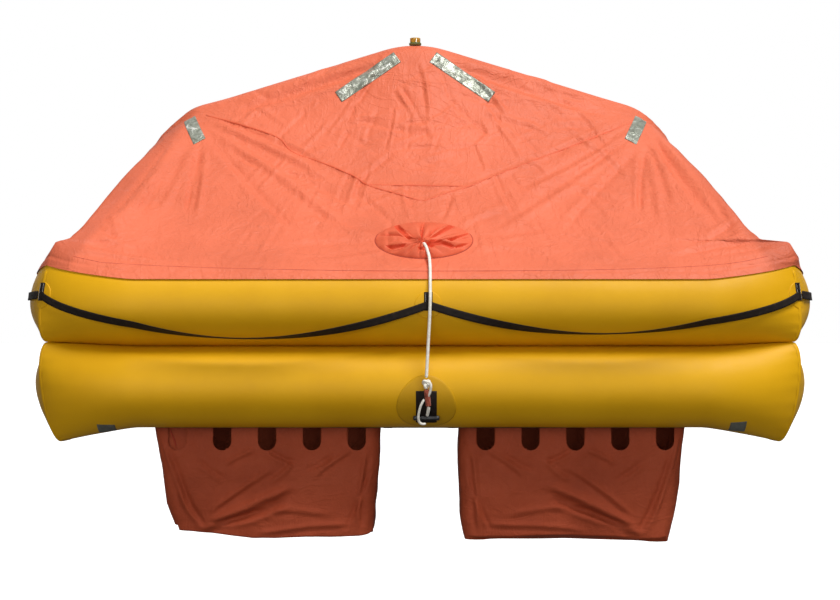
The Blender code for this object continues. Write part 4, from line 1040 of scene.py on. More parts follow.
def canopy_half(ring, side, scales):
    """One half of the cloth, before or behind the ridge, with its folds."""
    half = ring[: len(ring) // 2 + 1]
    rulings = np.array([canopy_rows(canopy_ruling(st)) for st in half])
    rulings = to_outline(rulings, scales)
    rulings[:, -1, 1] = 0.0
    rulings[0, :, 1] = 0.0
    rulings[-1, :, 1] = 0.0
    normal = normals_of(rulings)
    normal *= np.sign(normal[..., 2:].mean())
    along = np.concatenate([np.zeros((len(half), 1)),
                            np.cumsum(np.linalg.norm(np.diff(rulings, axis=1), axis=2), axis=1)], axis=1)
    free = smooth_step((along - 0.035) / 0.07) * smooth_step((along[:, -1:] - along) / 0.05 + 0.12)
    seam = np.exp(-((along - HEM_BAND) / 0.0055) ** 2)
    band = 0.0012 * smooth_step((HEM_BAND - along) / 0.004)
    end_share = np.array([1.0 if out[0] else 0.0 for _, out, _, _, _ in half])[:, None]
    where = rulings * np.array((1.0, float(-side), 1.0))
    offset = free * (canopy_offset(where, side) * (1 - 0.6 * end_share) + end_share * end_offset(where))
    offset += band - 0.0026 * seam + 0.0012 * value_noise(where, 30.0, 51) * seam
    offset = np.where(np.abs(rulings[..., 1]) < 1e-9, 0.0, np.clip(offset, -0.010, 0.010))
    moved = rulings + normal * offset[..., None]
    return moved * np.array((1.0, float(-side), 1.0)), along


def make_canopy():
    fine = ring_stations("upper", CANOPY_CORNER_STEP, CANOPY_STEP, CANOPY_END_STEP)
    coarse = ring_stations("upper", CANOPY_CORNER_STEP, CANOPY_REAR_STEP, CANOPY_END_STEP)
    scales = outline_scale(np.array([canopy_rows(canopy_ruling(st)) for st in coarse[: len(coarse) // 2 + 1]]))
    front, along = canopy_half(fine, -1, scales)
    rear, _ = canopy_half(coarse, 1, scales)
    whole = np.concatenate([front, rear[-2:0:-1]])
    px, py = picture(whole)
    pull = smooth_step((px - 735) / 45) * smooth_step((py - 240.5) / 2) * (1 - smooth_step((py - 256) / 12))
    whole[..., 0] += EAR_PULL * pull * smooth_step((-whole[..., 1] - 0.35) / 0.25)
    uv_u = np.concatenate([[0], np.cumsum(np.linalg.norm(np.diff(np.concatenate([whole[:, 40], whole[:1, 40]]), axis=0), axis=1))])
    uv = np.stack(np.meshgrid(uv_u, along.mean(0), indexing="ij"), axis=-1)
    closed = np.concatenate([whole, whole[:1]])
    middle = 0.25 * (closed[:-1, :-1] + closed[1:, :-1] + closed[:-1, 1:] + closed[1:, 1:])
    drop = in_door(middle)
    canopy = grid_mesh("canopy_cloth", whole, "canopy_fabric", (True, False), uv, drop)
    work = bmesh.new()
    work.from_mesh(canopy.data)
    bmesh.ops.remove_doubles(work, verts=work.verts, dist=0.0002)
    bmesh.ops.recalc_face_normals(work, faces=work.faces)
    snap_to_door(work)
    work.to_mesh(canopy.data)
    work.free()
    canopy.data.shade_smooth()
    return put(canopy, "canopy_fabric", "canopy")


def smooth_step(t):
    t = np.clip(t, 0, 1)
    return t * t * (3 - 2 * t)


def door_distance(x, z):
    """Signed distance from the entrance's outline as seen from behind, negative inside it."""
    centre = DOOR_TOP_Z - DOOR_ROUND
    t = np.clip((z - DOOR_SILL_Z) / (centre - DOOR_SILL_Z), 0, 1)
    side = np.abs(x) - lerp(DOOR_HALF, DOOR_TOP_HALF, t)
    dome = np.sqrt((x / DOOR_TOP_HALF) ** 2 + (np.maximum(z - centre, 0) / DOOR_ROUND) ** 2) - 1
    return np.where(z > centre, dome * DOOR_ROUND, np.maximum(side, DOOR_SILL_Z - z))


def in_door(points):
    return (points[..., 1] > 0.1) & (door_distance(points[..., 0], points[..., 2]) < 0)


def snap_to_door(work):
    """Moves the cut edge of the cloth on to the entrance's outline, along the cloth's own slope."""
    work.normal_update()
    for vert in work.verts:
        if vert.co.y < 0.1 or not vert.is_boundary or vert.co.z < DOOR_SILL_Z - 0.03:
            continue
        for _ in range(4):
            x, z = vert.co.x, vert.co.z
            d = float(door_distance(x, z))
            gx = float(door_distance(x + 1e-4, z) - d) / 1e-4
            gz = float(door_distance(x, z + 1e-4) - d) / 1e-4
            size = gx * gx + gz * gz
            if size < 1e-6 or abs(d) > 0.07:
                break
            dx, dz = -d * gx / size, -d * gz / size
            vert.co.x += dx
            vert.co.z += dz
            vert.co.y -= (vert.normal.x * dx + vert.normal.z * dz) / max(vert.normal.y, 0.3)


CANOPY = make_canopy()
CANOPY_SURFACE = surface(CANOPY)


# Reflective tape

TAPE_WIDTH = 0.05
TAPE_RUNS = (
    # lower end, upper end, share of the width seen from the front
    ((-0.314, 1.250), (-0.074, 1.420), 1.05),
    ((-0.869, 1.062), (-0.930, 1.163), 1.02),
)
TAPE_GRID = (64, 14)


def first_hit(x, z, side):
    while True:
        hit, normal, _, _ = CANOPY_SURFACE.ray_cast(Vector((x, side * 3, z)), Vector((0, -side, 0)))
        if hit:
            return np.array(hit), np.array(normal if normal.y * side > 0 else -normal)
        x *= 0.995
        z -= 0.001


def make_tapes():
    for side, word in ((-1, "front"), (1, "rear")):
        number = 0
        for mirror in (1, -1):
            for low, high, share in TAPE_RUNS:
                number += 1
                low_end, high_end = np.array(low), np.array(high)
                run = (high_end - low_end) / np.linalg.norm(high_end - low_end)
                wide = np.array((-run[1], run[0])) * TAPE_WIDTH / 2 * share
                points = np.zeros((TAPE_GRID[0], TAPE_GRID[1], 3))
                lift = np.zeros_like(points)
                for i, s in enumerate(np.linspace(0, 1, TAPE_GRID[0])):
                    for j, t in enumerate(np.linspace(-1, 1, TAPE_GRID[1])):
                        at = lerp(low_end, high_end, s) + wide * t
                        hit, normal = first_hit(at[0] * mirror + ARCH_SHIFT, at[1], side)
                        points[i, j], lift[i, j] = hit, normal
                crinkle = np.abs(value_noise(points, 34.0, 60 + number)) + 0.5 * np.abs(value_noise(points, 80.0, 70 + number))
                edge = np.minimum(1.0, 4 * (1 - np.abs(np.linspace(-1, 1, TAPE_GRID[1]))))[None, :]
                top = points + lift * (0.0012 + 0.0030 * crinkle * (0.35 + 0.65 * edge))[..., None]
                name = f"{word}_tape_{number}"
                tape = closed_sheet(f"{name}_strip", points + lift * 0.0003, top, "reflective_tape")
                put(tape, "reflective_tape", name)


def closed_sheet(name, low, top, material):
    """A thin closed piece between two grids of points."""
    rows, cols = low.shape[:2]
    points = np.concatenate([low.reshape(-1, 3), top.reshape(-1, 3)])
    count = rows * cols
    faces = []
    for i in range(rows - 1):
        for j in range(cols - 1):
            a = i * cols + j
            quad = (a, a + 1, a + cols + 1, a + cols)
            faces += [quad, tuple(count + k for k in reversed(quad))]
    rim = [j for j in range(cols)] + [i * cols + cols - 1 for i in range(1, rows)]
    rim += [(rows - 1) * cols + j for j in range(cols - 2, -1, -1)] + [i * cols for i in range(rows - 2, 0, -1)]
    faces += [(a, b, count + b, count + a) for a, b in zip(rim, rim[1:] + rim[:1])]
    mesh = bpy.data.meshes.new(name)
    mesh.from_pydata(points.tolist(), [], faces)
    uv = lengths_of(top, (False, False)).reshape(-1, 2)
    uv = np.concatenate([uv, uv])
    index = np.zeros(len(mesh.loops), int)
    mesh.loops.foreach_get("vertex_index", index)
    mesh.uv_layers.new(name="UVMap").data.foreach_set("uv", uv[index].astype(np.float32).ravel())
    obj = finish_mesh(name, mesh, material)
    fix_normals(obj)
    return obj


make_tapes()


def seen_on_canopy(px, py):
    """The point of the canopy that the picture shows at a place, and the cloth's normal there."""
    x = (px - PICTURE_MIDDLE[0]) / FOCAL_PIXELS
    z = (PICTURE_MIDDLE[1] - py) / FOCAL_PIXELS
    way = Vector((x, cos(PITCH) + z * sin(PITCH), z * cos(PITCH) - sin(PITCH))).normalized()
    hit, normal, _, _ = CANOPY_SURFACE.ray_cast(Vector(VIEW_FROM), way)
    if hit is None:
        return None
    return np.array(hit), np.array(normal if normal.dot(way) < 0 else -normal)


def canopy_strip(name, places, width, tall, material):
    """A narrow raised strip on the canopy along a line in the picture."""
    line = smooth_run([(x, y, 0.0) for x, y in places], 10)[:, :2]
    found = [seen_on_canopy(x, y) for x, y in line]
    found = [f for f in found if f is not None]
    spots, normals = (np.array([f[k] for f in found]) for k in (0, 1))
    run = np.gradient(spots, axis=0)
    run /= np.linalg.norm(run, axis=1, keepdims=True)
    side = np.cross(normals, run)
    side /= np.linalg.norm(side, axis=1, keepdims=True)
    rings = []
    for n, (p, s, up) in enumerate(zip(spots, side, normals)):
        end = min(n, len(spots) - 1 - n) / 4
        swell = min(1.0, 0.3 + end) * (1 + 0.25 * sin(n * 1.3))
        rings.append([p + s * (i * width / 2) + up * (j * tall * swell - 0.0006)
                      for i, j in ((-1, 0), (-0.8, 0.55), (-0.2, 1.0), (0.35, 0.9), (0.8, 0.45), (1, 0), (0, -0.1))])
    return put(loft(name, rings, material), "canopy_fabric")


# Lookout port: a round of cloth gathered by its tie, where the rope comes out

PORT_MIDDLE = (424.0, 240.5)
PORT_HALF = (48.5, 18.0)
PORT_TIE = (422.0, 250.0)
PORT_SPOKES = 320
PORT_STEPS = 56
# Valleys between the pleats: turn about the tie in degrees from the right, and how deep each cuts
PORT_VALLEYS = (
    (-62, 1.0), (-34, 0.45), (2, 1.0), (27, 1.0), (44, 0.35), (66, 0.7), (88, 0.9), (118, 0.4), (146, 1.0),
    (170, 0.3), (190, 1.0), (222, 0.5), (262, 0.6),
)
PORT_TALL = 0.044


# Where the sleeve is tucked under itself, in the picture: the cloth is sunk there and given a darker, redder painted
# shade
PORT_TUCKS = (
    ((391.5, 224.0), (398, 223.8), (412.5, 238.2), (408.5, 239.6), (400, 233)),
    ((385, 245.4), (406.5, 243.2), (404.5, 246.6), (391.5, 249.6)),
    ((429, 238), (441, 229.5), (449, 224.6), (455, 227), (446, 231.4), (436, 237)),
    ((446, 240), (457, 235.5), (468, 232.8), (467.5, 234.8), (452, 240.6)),
    ((454, 246.8), (461, 243.6), (470, 243), (464, 246), (456, 248)),
    ((425, 244), (430.5, 239.6), (440, 239.2), (449.5, 242.6), (456, 247.2), (452, 249), (443, 245.6), (436, 245.2),
     (431, 247.6)),
    ((417.5, 247.4), (424, 246.2), (424.6, 250.8), (420.5, 249.8)),
)
TUCK_DEEP = 0.009


def in_tucks(px, py):
    """How far picture points lie inside the nearest tuck, in pixels, negative outside."""
    best = np.full(px.shape, -50.0)
    for corners in PORT_TUCKS:
        near = np.full(px.shape, 50.0)
        odd = np.zeros(px.shape, bool)
        for (x0, y0), (x1, y1) in zip(corners, corners[1:] + corners[:1]):
            run = np.array((x1 - x0, y1 - y0))
            t = np.clip(((px - x0) * run[0] + (py - y0) * run[1]) / (run @ run), 0, 1)
            near = np.minimum(near, np.hypot(px - x0 - t * run[0], py - y0 - t * run[1]))
            crosses = (y0 > py) != (y1 > py)
            slope = (x1 - x0) / (y1 - y0) if y1 != y0 else 0.0
            odd ^= crosses & (px < x0 + (py - y0) * slope)
        best = np.maximum(best, np.where(odd, near, -near))
    return best


def port_height(turn, share):
    """How far the gathered cloth stands up, at a turn about its tie and a share of the way out to its rim."""
    degrees = (np.degrees(turn) + 62 + 7 * (1 - share) * np.sin(3 * turn)) % 360 - 62
    valleys = list(PORT_VALLEYS) + [(PORT_VALLEYS[0][0] + 360, PORT_VALLEYS[0][1])]
    ridge = np.zeros_like(turn)
    for n, ((a, cut_a), (b, cut_b)) in enumerate(zip(valleys, valleys[1:])):
        t = np.clip((degrees - a) / (b - a), 0, 1)
        skewed = t ** (0.55, 1.6, 0.8)[n % 3]
        cut = lerp(cut_a, cut_b, t)
        body = 1 - cut * (1 - np.sin(pi * skewed) ** 0.6)
        full = min(1.0, 0.5 + (b - a) / 60)
        ridge = np.where((degrees >= a) & (degrees < b), body * full, ridge)
    spread = smooth_step(share / 0.12) * np.clip((1 - share) / 0.50, 0, 1) ** 0.8
    tuft = 0.020 * np.exp(-(share / 0.17) ** 2)
    plump = 0.004 * np.sqrt(np.clip(1 - share**2, 0, 1))
    return PORT_TALL * ridge * spread * (0.6 + 0.4 * share) + tuft * (0.6 + 0.4 * ridge) + plump


def make_port():
    turn, share = np.meshgrid(np.linspace(0, 2 * pi, PORT_SPOKES, endpoint=False),
                              np.linspace(1.0, 0.03, PORT_STEPS), indexing="ij")
    rim_x = PORT_MIDDLE[0] + PORT_HALF[0] * np.cos(turn)
    rim_y = PORT_MIDDLE[1] - PORT_HALF[1] * np.sin(turn)
    px, py = lerp(PORT_TIE[0], rim_x, share), lerp(PORT_TIE[1], rim_y, share)
    points, lift = np.zeros((*px.shape, 3)), np.zeros((*px.shape, 3))
    for index in np.ndindex(px.shape):
        points[index], lift[index] = seen_on_canopy(px[index], py[index])
    smooth = unit(lift.mean((0, 1)))
    seen_turn = np.arctan2((PORT_TIE[1] - rim_y) * 2.2, rim_x - PORT_TIE[0])
    height = port_height(seen_turn, share) + 0.0010 * value_noise(points, 60.0, 81) * smooth_step((1 - share) / 0.2)
    height = 0.0014 + np.maximum(height, 0.0008) * smooth_step((1 - share) / 0.02)
    way = lerp(lift, smooth, 0.8)
    points = points + way * height[..., None]
    deep = TUCK_DEEP * smooth_step(in_tucks(*picture(points)) / 2.2 + 0.3) * smooth_step((1 - share) / 0.1)
    points = points - way * np.minimum(deep, 0.8 * height)[..., None]
    port = grid_mesh("port_gathered_sleeve", points, "port_fabric", (True, False))
    # The second material is painted shade for the cloth in the tucks.
    port.data.materials.append(MATERIALS["port_fold_shade"])
    work = bmesh.new()
    work.from_mesh(port.data)
    hub_point = Vector(points[:, -1].mean(0))
    rim_edges = [e for e in work.edges if e.is_boundary and all((v.co - hub_point).length < 0.02 for v in e.verts)]
    bmesh.ops.contextual_create(work, geom=rim_edges)
    bmesh.ops.recalc_face_normals(work, faces=work.faces)
    if sum(f.normal.z for f in work.faces) < 0:
        bmesh.ops.reverse_faces(work, faces=work.faces)
    # Faces inside the tucks take the painted shade.
    deep_in = in_tucks(*picture(np.array([face.calc_center_median() for face in work.faces])))
    for face, inside in zip(work.faces, deep_in):
        face.material_index = int(inside > 0.1 and len(face.verts) < 5)
    work.to_mesh(port.data)
    work.free()
    port.data.shade_smooth()
    ring = [(PORT_MIDDLE[0] + PORT_HALF[0] * 1.008 * cos(a), PORT_MIDDLE[1] - PORT_HALF[1] * 1.02 * sin(a))
            for a in np.linspace(radians(158), radians(382), 30)]
    canopy_strip("port_rim_seam", ring, 0.0042, 0.0022, "seam_fabric")
    return put(port, "canopy_fabric", "port_sleeve")


PORT = make_port()


# Water pockets

POCKET_TOP_Z = -WATERLINE_DEPTH - 0.006 - 0.0012
POCKET_FRONT_Y = -0.79
POCKET_BACK_Y = -0.52
POCKET_COLUMNS = (164, 46)
POCKET_ROWS = 64
SLOT_WIDTH = 0.068
SLOT_PITCH = 0.168
SLOT_DEPTH = 0.086
FLAP_Y = -0.7795
# Outlines seen from the front, in metres: (height, left edge, right edge), then (share across, bottom's height)
POCKET_OUTLINES = {
    "front_left": (
        ((-0.035, -1.000, -0.150), (-0.177, -0.976, -0.156), (-0.326, -0.956, -0.168), (-0.405, -0.928, -0.172),
         (-0.470, -0.916, -0.180)),
        ((0.0, -0.408), (0.07, -0.411), (0.13, -0.420), (0.26, -0.444), (0.38, -0.474), (0.50, -0.476),
         (0.68, -0.462), (0.82, -0.463), (0.93, -0.456), (1.0, -0.436)),
    ),
    "front_right": (
        ((-0.035, 0.148, 0.998), (-0.250, 0.148, 0.978), (-0.383, 0.152, 0.958), (-0.430, 0.160, 0.946),
         (-0.470, 0.170, 0.936)),
        ((0.0, -0.462), (0.08, -0.466), (0.22, -0.464), (0.38, -0.448), (0.50, -0.443), (0.60, -0.454),
         (0.74, -0.462), (0.86, -0.482), (0.95, -0.476), (1.0, -0.470)),
    ),
    "rear_left": (
        ((-0.035, -1.080, -0.240), (-0.165, -1.066, -0.246), (-0.320, -1.042, -0.262), (-0.458, -1.010, -0.290)),
        ((0.0, -0.430), (0.2, -0.450), (0.5, -0.457), (0.75, -0.448), (1.0, -0.432)),
    ),
    "rear_right": (
        ((-0.035, 0.240, 1.080), (-0.165, 0.246, 1.064), (-0.320, 0.262, 1.046), (-0.458, 0.290, 1.012)),
        ((0.0, -0.434), (0.3, -0.455), (0.55, -0.452), (0.8, -0.456), (1.0, -0.430)),
    ),
}
POCKET_MIDDLES = {"front_left": -0.573, "front_right": 0.582, "rear_left": -0.66, "rear_right": 0.66}
# Folds of a pocket's outer wall: ends as shares across and down, half width and height in metres
POCKET_FOLDS = (
    (0.12, 0.98, 0.62, 0.52, 0.016, 0.017),
    (0.14, 0.92, 0.60, 0.66, 0.012, -0.012),
    (0.20, 0.80, 0.52, 0.36, 0.010, 0.008),
    (0.50, 0.20, 0.62, 0.32, 0.008, -0.008),
    (0.62, 0.30, 0.50, 0.50, 0.010, 0.007),
    (0.30, 0.34, 0.44, 0.20, 0.009, 0.008),
    (0.70, 0.46, 0.88, 0.20, 0.009, 0.007),
    (0.66, 0.40, 0.80, 0.24, 0.008, -0.006),
    (0.92, 0.96, 0.94, 0.20, 0.010, 0.009),
    (0.86, 0.94, 0.96, 0.40, 0.008, -0.006),
    (0.05, 0.20, 0.16, 0.96, 0.013, -0.010),
    (0.02, 0.10, 0.10, 0.80, 0.010, 0.008),
    (0.40, 0.96, 0.90, 0.88, 0.010, 0.006),
    (0.36, 0.72, 0.80, 0.80, 0.012, 0.005),
    (0.18, 0.30, 0.30, 0.48, 0.009, -0.006),
)


def pocket_perimeter():
    """Turns round a pocket: side (0 outer, 1 right, 2 inner, 3 left) and share along it."""
    across, deep = POCKET_COLUMNS
    found = []
    for side, count in ((0, across), (1, deep), (2, across), (3, deep)):
        found += [(side, n / count) for n in range(count)]
    return found


def rounded_corner(x, y, half_x, half_y, radius):
    """A point of a rectangle's rim, moved on to its rounded corner."""
    cx = max(abs(x) - (half_x - radius), 0.0)
    cy = max(abs(y) - (half_y - radius), 0.0)
    if cx > 0 and cy > 0:
        size = sqrt(cx * cx + cy * cy)
        x = np.sign(x) * (half_x - radius + cx / size * radius)
        y = np.sign(y) * (half_y - radius + cy / size * radius)
    return x, y


def make_pocket(word):
    edges, bottom = (np.array(rows) for rows in POCKET_OUTLINES[word])
    outer = -1 if word.startswith("front") else 1
    flip_folds = word in ("front_right", "rear_left")
    perimeter = pocket_perimeter()
    points = np.zeros((POCKET_ROWS, len(perimeter), 3))
    push = np.zeros_like(points)
    share_x = np.zeros((POCKET_ROWS, len(perimeter)))
    shares = np.linspace(0, 1, POCKET_ROWS)
    half_deep = (POCKET_BACK_Y - POCKET_FRONT_Y) / 2
    middle_y = outer * abs(POCKET_FRONT_Y + POCKET_BACK_Y) / 2
    for k, (side, t) in enumerate(perimeter):
        u = (t, 1.0, 1 - t, 0.0)[side]
        deep = (-1.0, 2 * t - 1, 1.0, 1 - 2 * t)[side]
        low = np.interp(u, bottom[:, 0], bottom[:, 1])
        if side == 2:
            low = lerp(low, -0.440, 0.6)
        for i, share in enumerate(shares):
            z = lerp(POCKET_TOP_Z, low, share)
            left, right = (np.interp(-z, -edges[:, 0], edges[:, n]) for n in (1, 2))
            half_x = (right - left) / 2
            narrow = half_deep * (1 - 0.07 * share)
            bulge = 0.012 * sin(pi * share) * (1 - abs(2 * u - 1) ** 3)
            x, y = rounded_corner((2 * u - 1) * half_x, deep * narrow, half_x, narrow, 0.045)
            points[i, k] = ((left + right) / 2 + x, middle_y - outer * -y * (1 + bulge / narrow), z)
            share_x[i, k] = u
    middle = points.mean(1, keepdims=True)
    normal = normals_of(points, (False, True))
    normal *= np.sign((normal * (points - middle)).sum(-1, keepdims=True))
    down = shares[:, None] + 0 * share_x
    free = smooth_step((down - 0.02) / 0.2)
    across = 1 - share_x if flip_folds else share_x
    offset = np.zeros_like(down)
    wide = points[0, :, 0].max() - points[0, :, 0].min()
    for u0, v0, u1, v1, half, tall in POCKET_FOLDS:
        offset += metric_fold(across * wide, down * 0.42, u0 * wide, v0 * 0.42, u1 * wide, v1 * 0.42, half, tall)
    offset += 0.0045 * value_noise(points, 7.0, 90) + 0.0024 * value_noise(points, 17.0, 91)
    offset += 0.0012 * value_noise(points * np.array((1.0, 1.0, 0.5)), 40.0, 92)
    points = points + normal * (free * np.clip(offset, -0.018, 0.016))[..., None]
    points = add_bottom(points)
    slots, drop = slot_faces(points, POCKET_MIDDLES[word], outer)
    pocket = grid_mesh(f"pocket_{word}_cloth", slots, "pocket_fabric", (False, True), drop=drop)
    fix_normals(pocket)
    hem = make_pocket_hem(word, points[:3])
    put(pocket, "pocket_fabric", f"pocket_{word}")
    put(hem, "webbing")
    return pocket


def metric_fold(px, py, x0, y0, x1, y1, wide, tall):
    return fold_height(px, py, x0, y0, x1, y1, wide, tall * 1000)


def add_bottom(points):
    """Rows that close a pocket below: they run inwards and sag a little."""
    last = points[-1]
    centre = last.mean(0)
    rows = []
    for share in np.linspace(0, 1, 14)[1:]:
        keep = 1 - share
        row = centre + (last - centre) * np.array((keep, keep, 1.0))
        row[:, 2] = lerp(last[:, 2], last[:, 2].min() + 0.006, smooth_step(share)) - 0.003 * sin(pi * min(share * 4, 1.0))
        rows.append(row)
    return np.concatenate([points, np.array(rows)])


def slot_shape(x, z, middle):
    """Signed distance from the nearest slot of a pocket's outer wall, negative inside it."""
    n = np.clip(np.round((x - middle) / SLOT_PITCH), -2, 2)
    dx = x - middle - n * SLOT_PITCH
    low = POCKET_TOP_Z - SLOT_DEPTH + SLOT_WIDTH / 2
    dz = np.minimum(z - low, 0.0)
    return np.sqrt(dx**2 + dz**2) - SLOT_WIDTH / 2


def slot_faces(points, middle, outer):
    """Grid points moved on to the slots' outlines, and which faces the slots leave out."""
    wall = (points[..., 1] * outer > abs(POCKET_FRONT_Y) - 0.035)
    d = slot_shape(points[..., 0], points[..., 2], middle)
    near = wall & (np.abs(d) < 0.0040)
    moved = points.copy()
    step = 1e-4
    for _ in range(3):
        x, z = moved[..., 0], moved[..., 2]
        d = slot_shape(x, z, middle)
        gx = (slot_shape(x + step, z, middle) - d) / step
        gz = (slot_shape(x, z + step, middle) - d) / step
        size = np.maximum(gx**2 + gz**2, 1e-6)
        moved[..., 0] = np.where(near, x - d * gx / size, x)
        moved[..., 2] = np.where(near, z - d * gz / size, z)
    around = np.concatenate([moved, moved[:, :1]], axis=1)
    centre = 0.25 * (around[:-1, :-1] + around[1:, :-1] + around[:-1, 1:] + around[1:, 1:])
    inside = slot_shape(centre[..., 0], centre[..., 2], middle) < -0.0004
    return moved, inside & (centre[..., 1] * outer > abs(POCKET_FRONT_Y) - 0.035)


def make_pocket_hem(word, rows):
    """The flat tape that joins a pocket's rim to the floor."""
    rim = rows[0].copy()
    centre = rim.mean(0)
    inner = centre + (rim - centre) * 0.985
    out = centre + (rim - centre) * 1.012
    top = POCKET_TOP_Z + 0.0006
    section = []
    for plan, z in ((inner, top), (out, top), (out, top - 0.0022), (inner, top - 0.0022)):
        ring = plan.copy()
        ring[:, 2] = z
        section.append(ring)
    hem = grid_mesh(f"pocket_{word}_tape", np.array(section), "webbing", (True, True))
    fix_normals(hem)
    return hem


def make_pocket_flap():
    """A loose fold of the left pocket's cloth that lies behind its first slot, with a bright bound edge."""
    x, z = np.meshgrid(np.linspace(-0.952, -0.862, 40), np.linspace(-0.0375, -0.134, 40), indexing="ij")
    y = np.full_like(x, FLAP_Y)
    y += 0.004 * np.exp(-((x + 0.938 - 0.25 * (-0.043 - z)) / 0.006) ** 2) * -1 + 0.0015 * np.sin(90 * (x + 0.4 * z))
    points = np.stack([x, y, z], axis=-1)
    flap = grid_mesh("pocket_front_left_fold", points, "pocket_fabric", (False, False))
    put(flap, "pocket_fabric")
    edge = smooth_run([(-0.9379, FLAP_Y - 0.0045, -0.040), (-0.9300, FLAP_Y - 0.0050, -0.064),
                       (-0.9215, FLAP_Y - 0.0050, -0.084), (-0.9150, FLAP_Y - 0.0040, -0.106)], 8)
    a, b = frames_along(edge)
    turn = np.linspace(0, 2 * pi, 8, endpoint=False)
    rings = edge[:, None] + np.cos(turn)[None, :, None] * a[:, None] * 0.0019 + np.sin(turn)[None, :, None] * b[:, None] * 0.0009
    put(loft("pocket_front_left_edge", rings, "bright_binding"), "pocket_fabric")
    return flap


for pocket_word in POCKET_OUTLINES:
    make_pocket(pocket_word)
POCKET_FLAP = make_pocket_flap()


# Webbing that lies on the upper tube

WEB_WIDTH = 0.030
WEB_THICK = 0.0025
WEB_STAND = 0.0078
WEB_STAND_MITRE = 0.0118
WEB_LOOK = 0.02
LIFELINE_Z = 0.462
CENTRE_PATCH_Z = 0.43
FRONT_PATCH_X = 0.03
REAR_PATCH_X = 0.56
SPAN_CLEAR = 0.012
MIDDLE_CLEAR = 0.004
TWIST = radians(80)
SPAN_STEP = 0.007
PATCH_DISC = 0.05


def frame_skin(side, a, z):
    """The frame's upper tube at a distance from a side's middle and a height, and its lean there."""
    base, out, along, half = side
    _, _, up_rise, _, _ = TUBES["upper"]
    near = max(0.0, 1 - (half - abs(a)) / MITRE_REACH)
    shift = (MITRE_X - abs(base[0])) * near**2 if out[0] else 0.0
    rise = TUBE_R + up_rise * near
    s = min(max((z - UPPER_Z) / rise, 0.0), 0.9)
    angle = asin(s)
    reach = lerp(TUBE_R, MITRE_OUT, near**MITRE_FALL)
    v = reach * cos(angle) - MITRE_LEAN * near**2 * s
    sign = 1 if a > 0 else -1
    return base + along * (a + sign * near * v) + out * (v + shift) + np.array((0, 0, z)), angle


def web_section(side, a, z, twist, dip, wave):
    _, out, _, half = side
    centre, tilt = frame_skin(side, a, z)
    low, _ = frame_skin(side, max(a - WEB_LOOK, -half), z)
    high, _ = frame_skin(side, min(a + WEB_LOOK, half), z)
    up = np.array((0.0, 0.0, 1.0))
    level = unit(np.cross(unit(high - low), up))
    level = level if level @ out > 0 else -level
    flat_dir = up * cos(tilt) - level * sin(tilt)
    face = level * cos(tilt) + up * sin(tilt)
    wide = flat_dir * cos(twist) + face * sin(twist)
    thick = face * cos(twist) - flat_dir * sin(twist)
    near = max(0.0, 1 - (half - abs(a)) / MITRE_REACH)
    stand = lerp(WEB_STAND, WEB_STAND_MITRE, near) - dip
    centre = centre + face * (stand + WEB_THICK / 2 + abs(sin(twist)) * WEB_WIDTH / 2 + wave)
    outline = ((-1, 0), (-0.97, -0.8), (-0.5, -1), (0, -1), (0.5, -1), (0.97, -0.8), (1, 0), (0.97, 0.8),
               (0.5, 1), (0, 1), (-0.5, 1), (-0.97, 0.8))
    cup = 0.0008
    return [centre + wide * (i * WEB_WIDTH / 2) + thick * (j * WEB_THICK / 2 - cup * (1 - i * i)) for i, j in outline]


def make_lifeline():
    """Each span: side, ends, heights there, sag, twist and dip at its ends, as the frame has them."""
    x, y = HALF_LENGTH + UPPER_SPREAD, HALF_WIDTH
    front = (np.array((0, -y, 0)), np.array((0, -1, 0)), np.array((1, 0, 0)), MITRE_X)
    rear = (np.array((0, y, 0)), np.array((0, 1, 0)), np.array((1, 0, 0)), MITRE_X)
    left = (np.array((-x, 0, 0)), np.array((-1, 0, 0)), np.array((0, 1, 0)), y)
    right = (np.array((x, 0, 0)), np.array((1, 0, 0)), np.array((0, 1, 0)), y)
    z, middle = LIFELINE_Z, CENTRE_PATCH_Z
    length, width = MITRE_X - SPAN_CLEAR, y - SPAN_CLEAR
    left_end, right_end = FRONT_PATCH_X - MIDDLE_CLEAR, FRONT_PATCH_X + MIDDLE_CLEAR
    door = REAR_PATCH_X - SPAN_CLEAR
    spans = (
        ("front_left", front, -length, left_end, z, middle, 0.135, TWIST, 0.0028),
        ("front_right", front, right_end, length, middle, z, 0.118, TWIST, 0.0028),
        ("left", left, -width, width, z, z, 0.03, 0.0, 0.0027),
        ("right", right, -width, width, z, z, 0.03, 0.0, 0.0027),
        ("rear_left", rear, -length, -door, z, z, 0.08, 0.0, 0.0),
        ("rear_right", rear, door, length, z, z, 0.08, 0.0, 0.0019),
    )
    for word, side, a0, a1, z0, z1, sag, twist, dip in spans:
        steps = round(abs(a1 - a0) / SPAN_STEP)
        rings = []
        for n in range(steps + 1):
            t = n / steps
            height = lerp(z0, z1, t) - sag * 4 * t * (1 - t)
            end_dip = dip * (1 - smooth_step(min(t, 1 - t) / 0.03))
            wave = 0.0012 * sin(pi * t) * (1 + sin(17 * t + len(word)))
            rings.append(web_section(side, lerp(a0, a1, t), height, twist * sin(pi * t) ** 2, end_dip, wave))
        put(loft(f"lifeline_{word}_web", rings, "webbing"), "webbing", f"lifeline_{word}")


make_lifeline()


# Patches and tabs, laid on the tubes' skin

def draped(outline_grid, centre, out, proud):
    """Points of a grid of (sideways, up) places, laid on the tubes along a direction."""
    up = np.array((0.0, 0.0, 1.0))
    up = unit(up - out * (up @ out))
    side = np.cross(up, out)
    shape = outline_grid.shape[:-1]
    points = np.zeros((*shape, 3))
    normals = np.zeros((*shape, 3))
    for index in np.ndindex(shape):
        a, b = outline_grid[index]
        start = centre + out * 0.15 + side * a + up * b
        hit, normal, _, _ = TUBE_SURFACE.ray_cast(Vector(start), Vector(-out))
        points[index] = hit
        normals[index] = normal if normal @ Vector(out) > 0 else -normal
    return points, normals


